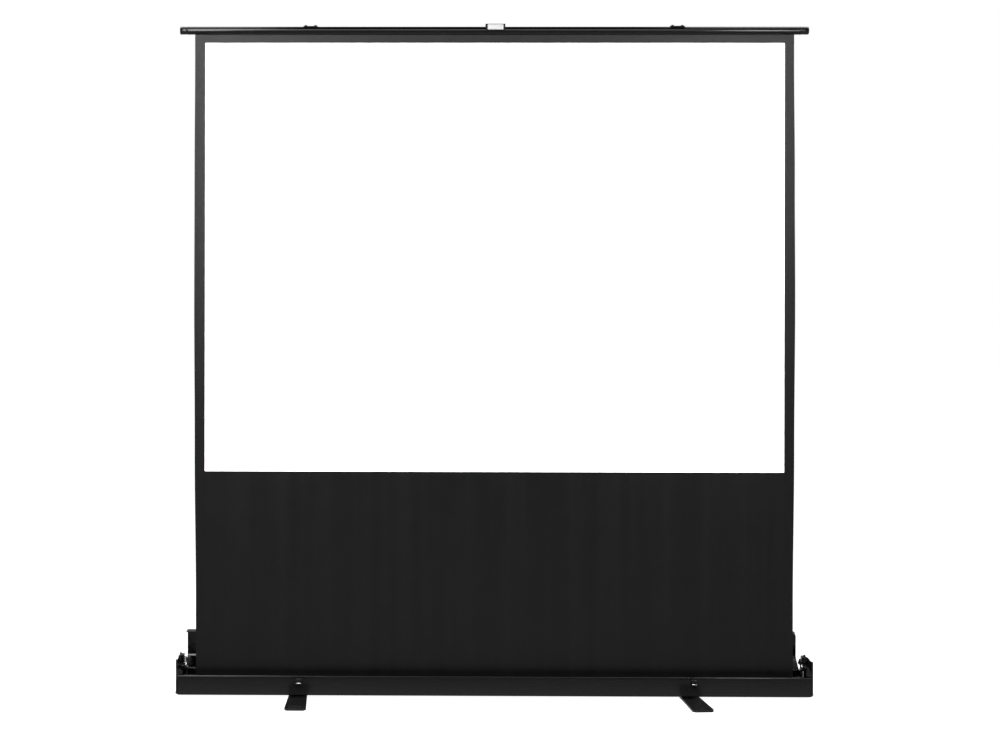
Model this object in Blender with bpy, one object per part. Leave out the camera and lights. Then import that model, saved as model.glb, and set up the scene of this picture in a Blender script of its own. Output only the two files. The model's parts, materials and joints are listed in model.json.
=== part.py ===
"""Pull up projection screen.

A floor standing screen that is pulled up out of its own case. The fabric winds on a
spring roller, a four arm scissor frame behind it carries the top tube, the case lid
stands open behind the frame, and two turning feet carry the case.

Metres, +Z up, +X to the right as seen from the audience, front towards -Y. The origin
is on the floor under the middle of the case. All pieces are shown as the screen stands
in use: fabric up, lid open, feet turned out.
"""

import math

import bmesh
import bpy
from mathutils import Vector

# Clearances and roundness
SEAT = 0.0003
RUNNING = 0.0005
CUT_PAST = 0.004
ARC_STEPS = 8
ROUND_SIDES = 24
PIN_SIDES = 16
PIVOT_MARK = 0.03
SHARP_EDGE = math.radians(35)

# Fabric: a white picture with a black border, and a black skirt down to the roller
IMAGE_WIDTH = 1.626
IMAGE_HEIGHT = 1.205
SIDE_BORDER = 0.0265
TOP_BORDER = 0.0216
FABRIC_THICKNESS = 0.0005
WHITE_THICKNESS = 0.0002
FABRIC_HALF = IMAGE_WIDTH / 2 + SIDE_BORDER

# Feet under the case
FOOT_LENGTH = 0.364
FOOT_TIP_WIDTH = 0.060
FOOT_WAIST_WIDTH = 0.050
FOOT_PLATE = 0.006
FOOT_CORNER = 0.012
FOOT_BOSS_RADIUS = 0.017
FOOT_BOSS_HEIGHT = 0.0047
FOOT_INSET = 0.333
FOOT_TURN_RIGHT = math.radians(4.7)
FOOT_PIVOT_RADIUS = 0.004
FOOT_PIVOT_HEAD = 0.008
FOOT_PIVOT_HEAD_HEIGHT = 0.002
FOOT_PIVOT_RECESS = 0.0012

# Case: a drawn trough with plastic ends
CASE_END_ROOM = 0.024
CASE_REAR_ROOM = 0.0102
CASE_WALL = 0.002
CASE_CORNER = 0.004
CASE_BOTTOM = FOOT_PLATE + FOOT_BOSS_HEIGHT + SEAT
CASE_FLOOR = CASE_BOTTOM + CASE_WALL
FRONT_HEIGHT = 0.056
FRONT_TOP = CASE_BOTTOM + FRONT_HEIGHT
LIP_DEPTH = 0.010
LIP_ROUND = 0.0012
SCREW_RIB = 0.010
CAP_THICKNESS = 0.0057
CAP_HEIGHT = 0.099
CAP_TOP = CASE_BOTTOM + CAP_HEIGHT
CAP_CORNER = 0.009
CAP_TOP_CORNER = 0.003
CAP_FRONT_LOBE = 0.013
CAP_SHELF = 0.0185
CAP_SHELF_Z = 0.094
CAP_SHELF_THICKNESS = 0.002
CAP_LOBE_GAP = 0.0009
CAP_LOBE_LOW = 0.058
CAP_LOBE_FRONT = 0.0020
CAP_REAR_LOBE = 0.009
CAP_REAR_LOBE_TOP = 0.1085
CAP_REAR_LOBE_BACK = 0.044
CAP_INNER_LOBE = 0.018
CAP_INNER_LOBE_DROP = 0.004
CAP_INNER_LOBE_BACK = 0.040
CAP_INNER_LOBE_TOP_BACK = 0.020
CAP_EDGE = 0.0025
CAP_RECESS_DEPTH = 0.003
CAP_RECESS_MARGIN = 0.003
CAP_SCREW_RADIUS = 0.002
CAP_SCREW_HEAD = 0.0038
CAP_SCREW_HEAD_HEIGHT = 0.0016
CAP_SCREW_LENGTH = 0.014
CAP_SCREW_INSET = 0.0058

# Roller in the case
ROLLER_RADIUS = 0.015
ROLLER_WALL = 0.0012
ROLLER_MARGIN = 0.0065
ROLLER_HALF = FABRIC_HALF + ROLLER_MARGIN
ROLLER_Z = 0.040
WINDING_RADIUS = 0.0175
ROLLER_Y = -(WINDING_RADIUS + SEAT + FABRIC_THICKNESS / 2)
PLUG_DEPTH = 0.020
PLUG_FLANGE_RADIUS = 0.018
PLUG_FLANGE = 0.003
AXLE_RADIUS = 0.004
AXLE_HEAD = 0.007
AXLE_HEAD_HEIGHT = 0.003
AXLE_REACH = 0.028
ARBOR_REACH = 0.190
SPRING_RADIUS = 0.0085
SPRING_WIRE = 0.0009
SPRING_PITCH = 0.0075
SPRING_CURLS = 16
SPRING_POINTS = 8

# Roller brackets at the case ends
BRACKET_CLEARANCE = 0.0090
BRACKET_THICKNESS = 0.002
BRACKET_FRONT_ROOM = 0.0110
BRACKET_REAR = 0.006
BRACKET_SHOULDER = 0.064
BRACKET_TIP_FRONT = -0.031
BRACKET_TIP_REAR = -0.017
BRACKET_TOP = 0.102
BRACKET_FOOT = 0.012
BRACKET_SCREW_Y = -0.0240
BRACKET_SCREW_Z = 0.085
BRACKET_SCREW_RADIUS = 0.002
BRACKET_SCREW_HEAD = 0.004
BRACKET_SCREW_LENGTH = 0.014
CAP_BOSS_RADIUS = 0.0055

# Scissor frame behind the fabric
PIVOT_INSET = 0.355
LOWER_PIVOT_Z = 0.026
ARM_WIDTH = 0.022
ARM_THICKNESS = 0.005
ARM_FRONT_Y = 0.014
ARM_GAP = 0.002
ARM_REAR_Y = ARM_FRONT_Y + ARM_THICKNESS + ARM_GAP
ARM_STACK_END = ARM_REAR_Y + ARM_THICKNESS
PIN_RADIUS = 0.004
PIN_HEAD = 0.007
PIN_HEAD_HEIGHT = 0.002
OPEN_PIVOT_PLAY = 0.0008
WASHER_RADIUS = 0.010

# Top tube, its end plugs, clips and handle
TUBE_RADIUS = 0.011
TUBE_WALL = 0.0014
TUBE_SLOT = 0.0026
TUBE_OVERHANG = 0.0161
TUBE_HALF = FABRIC_HALF + TUBE_OVERHANG
TUBE_Z = 1.867
TUBE_PIVOT_DROP = 0.012
END_PLUG_LENGTH = 0.025
END_PLUG_DEPTH = 0.015
END_PLUG_FLANGE_RADIUS = 0.0116
END_PLUG_FLANGE = 0.0024
END_PLUG_CHAMFER = 0.0015
SPLINE_RADIUS = 0.0025
SPLINE_END_GAP = 0.0011
CLIP_OUT = 0.010
CLIP_IN = 0.030
CLIP_WALL = 0.002
CLIP_FRONT_ANGLE = math.radians(40)
CLIP_REAR_ANGLE = math.radians(150)
CLIP_LUG_FRONT = 0.0114
CLIP_LUG_THICKNESS = 0.0023
CLIP_LUG_RADIUS = 0.008
CLIP_BOSS_RADIUS = 0.0065
CLIP_NUB_RADIUS = 0.0035
CLIP_NUB_HEIGHT = 0.0022
CLIP_NUB_INSET = 0.0065
SLIDING_PLAY = 0.0009
HANDLE_OFFSET = 0.004
HANDLE_WIDTH = 0.055
HANDLE_FRONT = 0.0142
HANDLE_SHOULDER = 0.010
HANDLE_RISE = 0.018
HANDLE_WRAP_START = math.radians(25)
HANDLE_DROP = 0.001
HANDLE_POST = 0.005
HANDLE_RIM = 0.0016
PLATE_WIDTH = 0.044
PLATE_HEIGHT = 0.0146
PLATE_THICKNESS = 0.001

# Lower pivot bracket, slide rail and shoe
PIVOT_BRACKET_WIDTH = 0.040
PIVOT_BRACKET_THICKNESS = 0.0025
PIVOT_BRACKET_HEIGHT = 0.025
PIVOT_BRACKET_FOOT = 0.0085
RAIL_FRONT_Y = 0.0290
RAIL_DEPTH = 0.0108
RAIL_HEIGHT = 0.0254
RAIL_WALL = 0.0015
RAIL_SLOT = 0.0100
RAIL_INSIDE_PIVOT = 0.030
SHOE_LENGTH = 0.020

# Lid, hooked on a bead along the rear wall
HINGE_Z = 0.064
BEAD_RADIUS = 0.0025
HOOK_GAP = 0.0004
HOOK_WALL = 0.0016
HOOK_START = math.radians(30)
HOOK_END = math.radians(240)
LID_END_GAP = 0.011
LID_WALL = 0.0015
LID_RISE = 0.0445
LID_SLANT_RUN = 0.027
LID_SKIRT = 0.040
LID_OPEN = math.radians(90)
LID_CATCH_WIDTH = 0.024
LID_CATCH_HEIGHT = 0.007
LID_CATCH_DEPTH = 0.003
LID_CATCH_ABOVE_EDGE = 0.004
CARRY_WIDTH = 0.130
CARRY_HEIGHT = 0.024
CARRY_DEPTH = 0.022
CARRY_GRIP = 0.008
CARRY_LEG = 0.018

# Latches on the front wall
LATCH_INSET = 0.330
LATCH_OFFSET = 0.0065
LATCH_WIDTH = 0.021
LATCH_BASE_THICKNESS = 0.0015
LATCH_BASE_HEIGHT = 0.019
LATCH_BASE_TOP = 0.0625
LATCH_EAR = 0.0025
LATCH_EAR_DEPTH = 0.0062
LATCH_EAR_HEIGHT = 0.0080
LATCH_PIN_RADIUS = 0.0013
LATCH_LEVER_THICKNESS = 0.0018

# Worked out places
CASE_DEPTH = 2 * (RAIL_FRONT_Y + RAIL_DEPTH + CASE_REAR_ROOM + CASE_WALL)
BRACKET_FRONT = CASE_WALL + BRACKET_FRONT_ROOM - CASE_DEPTH / 2
BRACKET_X = ROLLER_HALF + BRACKET_CLEARANCE
CASE_HALF = BRACKET_X + CASE_END_ROOM
LID_HALF = CASE_HALF - LID_END_GAP
PIVOT_X = CASE_HALF - PIVOT_INSET
FOOT_X = CASE_HALF - FOOT_INSET
LATCH_X = CASE_HALF - LATCH_INSET
HINGE_Y = CASE_DEPTH / 2 - CASE_WALL / 2
UPPER_PIVOT_Z = TUBE_Z - TUBE_PIVOT_DROP
STAGE_RISE = (UPPER_PIVOT_Z - LOWER_PIVOT_Z) / 2
ARM_LENGTH = math.hypot(2 * PIVOT_X, STAGE_RISE)
ARM_ANGLE = math.atan2(STAGE_RISE, 2 * PIVOT_X)
ELBOW_Z = LOWER_PIVOT_Z + STAGE_RISE
CAP_INNER = CASE_HALF + SEAT
CAP_OUTER = CAP_INNER + CAP_THICKNESS
FOLDED_PIVOT_Z = LOWER_PIVOT_Z + 2 * (ARM_WIDTH + ARM_GAP)
CAP_REAR_LOBE_LOW = FOLDED_PIVOT_Z + ARM_WIDTH / 2 + ARM_GAP
TUBE_SEAT_Z = TUBE_Z - TUBE_RADIUS + TUBE_WALL + SEAT
SPLINE_Z = TUBE_SEAT_Z + SPLINE_RADIUS
FABRIC_TOP = TUBE_SEAT_Z - SEAT
IMAGE_TOP = TUBE_Z - TUBE_RADIUS - TOP_BORDER
LATCH_PIN_Z = LATCH_BASE_TOP - LATCH_EAR_HEIGHT / 2
FRONT_FACE = -CASE_DEPTH / 2
CAP_RECESS = END_PLUG_FLANGE_RADIUS + CAP_RECESS_MARGIN


# Materials
def paint(name, colour, roughness, metallic=0.0):
    """One Principled material; colour is linear red, green and blue."""
    material = bpy.data.materials.new(name)
    material.use_nodes = True
    shader = material.node_tree.nodes["Principled BSDF"]
    shader.inputs["Base Color"].default_value = (*colour, 1.0)
    shader.inputs["Roughness"].default_value = roughness
    shader.inputs["Metallic"].default_value = metallic
    return material


# Placing and joining
def place_of(thing):
    """World place of an object whose carriers are all unturned empties."""
    place = Vector(thing.location)
    while thing.parent:
        thing = thing.parent
        place += Vector(thing.location)
    return place


def pivot(name, place, carrier=None):
    """An empty on a joint's axis, at a place in the world."""
    empty = bpy.data.objects.new(name, None)
    empty.empty_display_size = PIVOT_MARK
    bpy.context.scene.collection.objects.link(empty)
    empty.location = Vector(place)
    if carrier:
        empty.location = Vector(place) - place_of(carrier)
        empty.parent = carrier
    return empty


def add_object(name, shape, material, carrier, place=(0, 0, 0), turn=(0, 0, 0)):
    """Turn a bmesh into a named object; place is in the world, turn about its own origin."""
    bmesh.ops.recalc_face_normals(shape, faces=shape.faces)
    mesh = bpy.data.meshes.new(name)
    shape.to_mesh(mesh)
    shape.free()
    mesh.shade_smooth()
    mesh.set_sharp_from_angle(angle=SHARP_EDGE)
    piece = bpy.data.objects.new(name, mesh)
    if material:
        mesh.materials.append(material)
    bpy.context.scene.collection.objects.link(piece)
    piece.location = Vector(place)
    if carrier:
        piece.location = Vector(place) - place_of(carrier)
        piece.parent = carrier
    piece.rotation_euler = turn
    return piece


def guide(name, shape, host):
    """A hidden shape in its host's own space, for a Boolean."""
    helper = add_object(name, shape, None, None)
    helper.parent = host
    helper.hide_render = True
    helper.display_type = "WIRE"
    return helper


def combine(host, shape, operation):
    """Cut a shape from its host, or join it on, with a live Boolean."""
    label = f"{host.name}_{operation.lower()}_{len(host.modifiers)}"
    modifier = host.modifiers.new(label, "BOOLEAN")
    modifier.operation = operation
    modifier.solver = "EXACT"
    modifier.object = guide(label, shape, host)


def cut(host, shape):
    """Take a shape out of its host."""
    combine(host, shape, "DIFFERENCE")


def join(host, shape):
    """Add a shape to its host."""
    combine(host, shape, "UNION")


# Outlines, as lists of pairs
def arc(centre, radius, start, end, steps=ARC_STEPS):
    """Points on a circle from one angle to another."""
    points = []
    for step in range(steps + 1):
        angle = start + (end - start) * step / steps
        points.append((centre[0] + radius * math.cos(angle), centre[1] + radius * math.sin(angle)))
    return points


def beside(path, distance):
    """An open path moved sideways by a distance, with mitred corners; left is positive."""
    moved = []
    for index, point in enumerate(path):
        before = path[max(index - 1, 0)]
        after = path[min(index + 1, len(path) - 1)]
        normals = []
        for start, end in ((before, point), (point, after)):
            run = Vector((end[0] - start[0], end[1] - start[1]))
            if run.length > 0:
                run.normalize()
                normals.append(Vector((-run.y, run.x)))
        middle = (normals[0] + normals[-1]).normalized()
        reach = distance / middle.dot(normals[0])
        moved.append((point[0] + middle.x * reach, point[1] + middle.y * reach))
    return moved


# Solids
AXIS_PLACES = {
    "X": lambda along, first, second: (along, first, second),
    "Y": lambda along, first, second: (first, along, second),
    "Z": lambda along, first, second: (first, second, along),
}


def extrude(outline, axis, low, high):
    """A closed prism; the outline is Y Z for axis X, X Z for axis Y, X Y for axis Z."""
    shape = bmesh.new()
    to_space = AXIS_PLACES[axis]
    near = [shape.verts.new(to_space(low, *point)) for point in outline]
    far = [shape.verts.new(to_space(high, *point)) for point in outline]
    count = len(outline)
    for index in range(count):
        after = (index + 1) % count
        shape.faces.new((near[index], near[after], far[after], far[index]))
    shape.faces.new(near)
    shape.faces.new(far)
    return shape


def block(low, high):
    """A box between two corners."""
    outline = [(low[1], low[2]), (high[1], low[2]), (high[1], high[2]), (low[1], high[2])]
    return extrude(outline, "X", low[0], high[0])


def turned(profile, axis, sides=ROUND_SIDES, centre=(0, 0)):
    """A closed turned shape; the profile is pairs of radius and place along the axis."""
    shape = bmesh.new()
    to_space = AXIS_PLACES[axis]
    rings = []
    for radius, along in profile:
        if radius == 0:
            rings.append([shape.verts.new(to_space(along, *centre))])
            continue
        ring = []
        for side in range(sides):
            angle = 2 * math.pi * side / sides
            first = centre[0] + radius * math.cos(angle)
            second = centre[1] + radius * math.sin(angle)
            ring.append(shape.verts.new(to_space(along, first, second)))
        rings.append(ring)
    closed = rings[0] if len(rings[0]) > 1 else None
    pairs = list(zip(rings, rings[1:]))
    if closed:
        pairs.append((rings[-1], closed))
    for ring, following in pairs:
        for side in range(sides):
            after = (side + 1) % sides
            corners = [ring[side % len(ring)], ring[after % len(ring)]]
            corners += [following[after % len(following)], following[side % len(following)]]
            shape.faces.new(dict.fromkeys(corners))
    return shape


def rod(radius, axis, low, high, centre=(0, 0), sides=PIN_SIDES):
    """A plain cylinder along an axis."""
    return turned([(0, low), (radius, low), (radius, high), (0, high)], axis, sides, centre)


def headed_pin(axis, spans, centre=(0, 0), sides=PIN_SIDES):
    """A pin built from stretches, each a radius with its start and end along the axis."""
    profile = [(0, spans[0][1])]
    for radius, low, high in spans:
        profile += [(radius, low), (radius, high)]
    profile.append((0, spans[-1][2]))
    return turned(profile, axis, sides, centre)


def slotted_tube(radius, wall, half_slot, low, high):
    """A tube along X with a slot along its underside, centred on the axis."""
    outer = math.asin(half_slot / radius)
    inner = math.asin(half_slot / (radius - wall))
    down = -math.pi / 2
    full = 2 * math.pi
    outline = arc((0, 0), radius, down + outer, down + full - outer, 3 * ARC_STEPS)
    outline += arc((0, 0), radius - wall, down + full - inner, down + inner, 3 * ARC_STEPS)
    return extrude(outline, "X", low, high)


# Feet
def foot_outline():
    """A bow tie plate, narrow under the case and wide at both tips."""
    half = FOOT_LENGTH / 2
    tip = FOOT_TIP_WIDTH / 2 - FOOT_CORNER
    waist = FOOT_WAIST_WIDTH / 2
    quarter = math.pi / 2
    points = arc((tip, half - FOOT_CORNER), FOOT_CORNER, 0, quarter, 4)
    points += arc((-tip, half - FOOT_CORNER), FOOT_CORNER, quarter, 2 * quarter, 4)
    points.append((-waist, 0))
    points += arc((-tip, FOOT_CORNER - half), FOOT_CORNER, 2 * quarter, 3 * quarter, 4)
    points += arc((tip, FOOT_CORNER - half), FOOT_CORNER, 3 * quarter, 4 * quarter, 4)
    points.append((waist, 0))
    return points


def build_feet(root, finish):
    """Two plates that turn about upright rivets through the case floor."""
    top = CASE_FLOOR + SEAT + FOOT_PIVOT_HEAD_HEIGHT
    recess_top = FOOT_PIVOT_RECESS + FOOT_PIVOT_HEAD_HEIGHT
    for side, sign, turn in (("left", -1, 0), ("right", 1, FOOT_TURN_RIGHT)):
        axis = pivot(f"foot_swivel_{side}", (sign * FOOT_X, 0, 0), root)
        place = place_of(axis)
        plate = extrude(foot_outline(), "Z", 0, FOOT_PLATE)
        foot = add_object(f"foot_{side}", plate, finish["foot"], axis, place, (0, 0, turn))
        boss_top = FOOT_PLATE + FOOT_BOSS_HEIGHT
        join(foot, rod(FOOT_BOSS_RADIUS, "Z", FOOT_PLATE / 2, boss_top, sides=ROUND_SIDES))
        cut(foot, rod(FOOT_PIVOT_RADIUS + SEAT, "Z", -CUT_PAST, boss_top + CUT_PAST))
        recess = FOOT_PIVOT_HEAD + SEAT
        cut(foot, rod(recess, "Z", -CUT_PAST, recess_top + SEAT))
        rivet = headed_pin("Z", (
            (FOOT_PIVOT_HEAD, FOOT_PIVOT_RECESS, recess_top),
            (FOOT_PIVOT_RADIUS, recess_top, CASE_FLOOR + SEAT),
            (FOOT_PIVOT_HEAD, CASE_FLOOR + SEAT, top),
        ))
        add_object(f"foot_rivet_{side}", rivet, finish["steel"], axis, place)


# Case
def case_outline():
    """The trough's section: floor, front wall with its lip, rear wall with the hinge bead."""
    back = CASE_DEPTH / 2
    neck = math.asin(CASE_WALL / 2 / BEAD_RADIUS)
    down = -math.pi / 2
    points = [(FRONT_FACE + CASE_CORNER, CASE_BOTTOM), (back - CASE_CORNER, CASE_BOTTOM)]
    points.append((back, CASE_BOTTOM + CASE_CORNER))
    turn = 2 * math.pi
    points += arc((HINGE_Y, HINGE_Z), BEAD_RADIUS, down + neck, down + turn - neck, 12)
    points += [
        (back - CASE_WALL, CASE_FLOOR + SCREW_RIB),
        (back - CASE_WALL - SCREW_RIB, CASE_FLOOR),
        (FRONT_FACE + CASE_WALL + SCREW_RIB, CASE_FLOOR),
        (FRONT_FACE + CASE_WALL, CASE_FLOOR + SCREW_RIB),
        (FRONT_FACE + CASE_WALL, FRONT_TOP - CASE_WALL),
        (FRONT_FACE + LIP_DEPTH, FRONT_TOP - CASE_WALL),
        (FRONT_FACE + LIP_DEPTH, FRONT_TOP),
        (FRONT_FACE + LIP_ROUND, FRONT_TOP),
        (FRONT_FACE, FRONT_TOP - LIP_ROUND),
        (FRONT_FACE, CASE_BOTTOM + CASE_CORNER),
    ]
    return points


def cap_screw_places():
    """Where the end cap screws enter the ribs in the trough's corners."""
    across = CASE_DEPTH / 2 - CAP_SCREW_INSET
    up = CASE_BOTTOM + CAP_SCREW_INSET
    return (("front", -across, up), ("rear", across, up))


def build_case(root, finish):
    """The trough, its end caps and their screws."""
    trough = add_object(
        "case_trough", extrude(case_outline(), "X", -CASE_HALF, CASE_HALF), finish["case"], root
    )
    hole = CAP_SCREW_RADIUS + SEAT
    for sign in (-1, 1):
        deep = CASE_HALF - CAP_SCREW_LENGTH
        for _, across, up in cap_screw_places():
            low, high = sorted((sign * deep, sign * (CASE_HALF + CUT_PAST)))
            cut(trough, rod(hole, "X", low, high, (across, up), PIN_SIDES // 2))
        rivet_hole = rod(FOOT_PIVOT_RADIUS + SEAT, "Z", CASE_BOTTOM - CUT_PAST,
                         CASE_FLOOR + CUT_PAST, (sign * FOOT_X, 0))
        cut(trough, rivet_hole)
    for side, sign in (("left", -1), ("right", 1)):
        build_end_cap(side, sign, root, finish)


def cap_outline():
    """An end plate's outline, rounder at the foot than at the top."""
    quarter = math.pi / 2
    low = (-FRONT_FACE - CAP_CORNER, CASE_BOTTOM + CAP_CORNER)
    high = (-FRONT_FACE - CAP_TOP_CORNER, CAP_TOP - CAP_TOP_CORNER)
    points = arc(high, CAP_TOP_CORNER, 0, quarter, 3)
    points += arc((-high[0], high[1]), CAP_TOP_CORNER, quarter, 2 * quarter, 3)
    points += arc((-low[0], low[1]), CAP_CORNER, 2 * quarter, 3 * quarter, 4)
    points += arc(low, CAP_CORNER, 3 * quarter, 4 * quarter, 4)
    return points


def cap_lobes():
    """The blocks on an end plate's inner face, beside the folded tube, with how far each reaches in."""
    side = CAP_RECESS + CAP_LOBE_GAP
    front = FRONT_FACE + CAP_LOBE_FRONT
    behind_lip = FRONT_FACE + LIP_DEPTH + RUNNING
    above_lip = FRONT_TOP + CASE_WALL / 2
    front_lobe = [
        (behind_lip, CAP_LOBE_LOW),
        (-side, CAP_LOBE_LOW),
        (-side, CAP_SHELF_Z - RUNNING),
        (front, CAP_SHELF_Z - RUNNING),
        (front, above_lip),
        (behind_lip, above_lip),
    ]
    shelf_low = CAP_SHELF_Z - CAP_SHELF_THICKNESS
    shelf = [
        (front + RUNNING, shelf_low),
        (-side - RUNNING, shelf_low),
        (-side - RUNNING, CAP_SHELF_Z),
        (front + RUNNING, CAP_SHELF_Z),
    ]
    rear_lobe = [
        (side, CAP_REAR_LOBE_LOW),
        (CAP_REAR_LOBE_BACK, CAP_REAR_LOBE_LOW),
        (CAP_REAR_LOBE_BACK, CAP_REAR_LOBE_TOP),
        (side, CAP_REAR_LOBE_TOP),
    ]
    inner_top = CAP_REAR_LOBE_TOP - CAP_INNER_LOBE_DROP
    inner_lobe = [
        (side + RUNNING, CAP_REAR_LOBE_LOW + RUNNING),
        (CAP_INNER_LOBE_BACK, CAP_REAR_LOBE_LOW + RUNNING),
        (CAP_INNER_LOBE_TOP_BACK, inner_top),
        (side + RUNNING, inner_top),
    ]
    return (
        (front_lobe, CAP_FRONT_LOBE),
        (shelf, CAP_SHELF),
        (rear_lobe, CAP_REAR_LOBE),
        (inner_lobe, CAP_INNER_LOBE),
    )


def build_end_cap(side, sign, root, finish):
    """A plastic end plate with a pocket for the folded tube and a boss for the bracket."""
    low, high = sorted((sign * CAP_INNER, sign * CAP_OUTER))
    plate = extrude(cap_outline(), "X", low, high)
    cap = add_object(f"end_cap_{side}", plate, finish["plastic"], root)
    rounding = cap.modifiers.new("edge", "BEVEL")
    rounding.width = CAP_EDGE
    rounding.segments = 2
    rounding.limit_method = "ANGLE"
    root_depth = CAP_INNER + CAP_THICKNESS / 3
    for outline, inward in cap_lobes():
        lobe_low, lobe_high = sorted((sign * (CAP_INNER - inward), sign * root_depth))
        join(cap, extrude(outline, "X", lobe_low, lobe_high))
    boss_end = BRACKET_X + BRACKET_THICKNESS + SEAT
    boss_low, boss_high = sorted((sign * boss_end, sign * (CAP_INNER + CAP_THICKNESS / 2)))
    boss_centre = (BRACKET_SCREW_Y, BRACKET_SCREW_Z)
    join(cap, rod(CAP_BOSS_RADIUS, "X", boss_low, boss_high, boss_centre))
    recess = CAP_RECESS
    folded_tube_z = FOLDED_PIVOT_Z + TUBE_PIVOT_DROP
    start = (sign * (CAP_INNER - CUT_PAST), -recess, folded_tube_z - recess)
    end = (sign * (CAP_INNER + CAP_RECESS_DEPTH), recess, CAP_TOP + CUT_PAST)
    cut(cap, block([min(a, b) for a, b in zip(start, end)], [max(a, b) for a, b in zip(start, end)]))
    blind = BRACKET_X + BRACKET_THICKNESS + BRACKET_SCREW_LENGTH
    bore_low, bore_high = sorted((sign * (boss_end - CUT_PAST), sign * blind))
    cut(cap, rod(BRACKET_SCREW_RADIUS + SEAT, "X", bore_low, bore_high, boss_centre, PIN_SIDES // 2))
    head_start = CAP_OUTER + SEAT
    for corner, across, up in cap_screw_places():
        hole_low, hole_high = sorted((sign * (CAP_INNER - CUT_PAST), sign * (CAP_OUTER + CUT_PAST)))
        hole = rod(CAP_SCREW_RADIUS + SEAT, "X", hole_low, hole_high, (across, up), PIN_SIDES // 2)
        cut(cap, hole)
        tip = CASE_HALF - CAP_SCREW_LENGTH + RUNNING
        spans = [
            (CAP_SCREW_RADIUS, sign * tip, sign * head_start),
            (CAP_SCREW_HEAD, sign * head_start, sign * (head_start + CAP_SCREW_HEAD_HEIGHT)),
        ]
        screw = headed_pin("X", spans, (across, up), PIN_SIDES // 2)
        add_object(f"cap_screw_{corner}_{side}", screw, finish["steel"], root)


# Roller brackets and roller
def bracket_outline():
    """A plate with a wide foot and a narrow neck in front of the folded tube."""
    base = CASE_FLOOR + SEAT
    shoulder = ROLLER_Z + PLUG_FLANGE_RADIUS / 2
    return [
        (BRACKET_FRONT, base),
        (BRACKET_REAR, base),
        (BRACKET_REAR, shoulder),
        (BRACKET_TIP_REAR, BRACKET_SHOULDER + BRACKET_SCREW_HEAD),
        (BRACKET_TIP_REAR, BRACKET_TOP - BRACKET_FOOT),
        (BRACKET_TIP_REAR - BRACKET_SCREW_HEAD, BRACKET_TOP),
        (BRACKET_TIP_FRONT, BRACKET_TOP - BRACKET_FOOT),
        (BRACKET_TIP_FRONT, BRACKET_SHOULDER + BRACKET_SCREW_HEAD),
        (BRACKET_FRONT, shoulder),
    ]


def build_roller(root, finish):
    """Brackets, axles and screws on the case, and the roller that turns between them."""
    roller = pivot("roller_spin", (0, ROLLER_Y, ROLLER_Z), root)
    axle_centre = (ROLLER_Y, ROLLER_Z)
    screw_centre = (BRACKET_SCREW_Y, BRACKET_SCREW_Z)
    outer = BRACKET_X + BRACKET_THICKNESS
    base = CASE_FLOOR + SEAT
    for side, sign in (("left", -1), ("right", 1)):
        low, high = sorted((sign * BRACKET_X, sign * outer))
        plate = extrude(bracket_outline(), "X", low, high)
        bracket = add_object(f"roller_bracket_{side}", plate, finish["steel_dark"], root)
        foot_ends = (sign * (outer - BRACKET_THICKNESS / 2), sign * (outer + BRACKET_FOOT))
        join(bracket, block((min(foot_ends), BRACKET_FRONT + RUNNING, base),
                            (max(foot_ends), BRACKET_REAR - RUNNING, base + BRACKET_THICKNESS)))
        hole_low, hole_high = low - CUT_PAST, high + CUT_PAST
        cut(bracket, rod(AXLE_RADIUS + SEAT, "X", hole_low, hole_high, axle_centre))
        screw_hole = BRACKET_SCREW_RADIUS + SEAT
        cut(bracket, rod(screw_hole, "X", hole_low, hole_high, screw_centre, PIN_SIDES // 2))
        screw_head = BRACKET_X - SEAT
        spans = [
            (BRACKET_SCREW_HEAD, sign * (screw_head - CAP_SCREW_HEAD_HEIGHT), sign * screw_head),
            (BRACKET_SCREW_RADIUS, sign * screw_head, sign * (outer + BRACKET_SCREW_LENGTH - RUNNING)),
        ]
        screw = headed_pin("X", spans, screw_centre, PIN_SIDES // 2)
        add_object(f"bracket_screw_{side}", screw, finish["steel"], root)
        reach = ARBOR_REACH if side == "left" else AXLE_REACH
        head = outer + SEAT
        spans = [
            (AXLE_RADIUS, sign * (outer - reach), sign * head),
            (AXLE_HEAD, sign * head, sign * (head + AXLE_HEAD_HEIGHT)),
        ]
        name = "spring_arbor_axle" if side == "left" else "roller_axle"
        add_object(name, headed_pin("X", spans, axle_centre), finish["steel"], root)
        build_roller_plug(side, sign, roller, finish)
    inner = ROLLER_RADIUS - ROLLER_WALL
    tube = turned([(ROLLER_RADIUS, -ROLLER_HALF), (ROLLER_RADIUS, ROLLER_HALF),
                   (inner, ROLLER_HALF), (inner, -ROLLER_HALF)], "X")
    add_object("roller_tube", tube, finish["aluminium"], roller, place_of(roller))
    bore = ROLLER_RADIUS + SEAT
    winding = turned([(WINDING_RADIUS, -FABRIC_HALF), (WINDING_RADIUS, FABRIC_HALF),
                      (bore, FABRIC_HALF), (bore, -FABRIC_HALF)], "X")
    add_object("fabric_winding", winding, finish["black_fabric"], roller, place_of(roller))
    build_spring(roller, finish)


def build_roller_plug(side, sign, roller, finish):
    """An end plug in the roller tube, bored for its axle."""
    body = ROLLER_RADIUS - ROLLER_WALL - SEAT
    flange = ROLLER_HALF + SEAT
    bore = AXLE_RADIUS + SEAT
    profile = [
        (body, sign * (ROLLER_HALF - PLUG_DEPTH)),
        (body, sign * flange),
        (PLUG_FLANGE_RADIUS, sign * flange),
        (PLUG_FLANGE_RADIUS, sign * (flange + PLUG_FLANGE)),
        (bore, sign * (flange + PLUG_FLANGE)),
        (bore, sign * (ROLLER_HALF - PLUG_DEPTH)),
    ]
    add_object(f"roller_plug_{side}", turned(profile, "X"), finish["plastic"], roller, place_of(roller))


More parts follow.
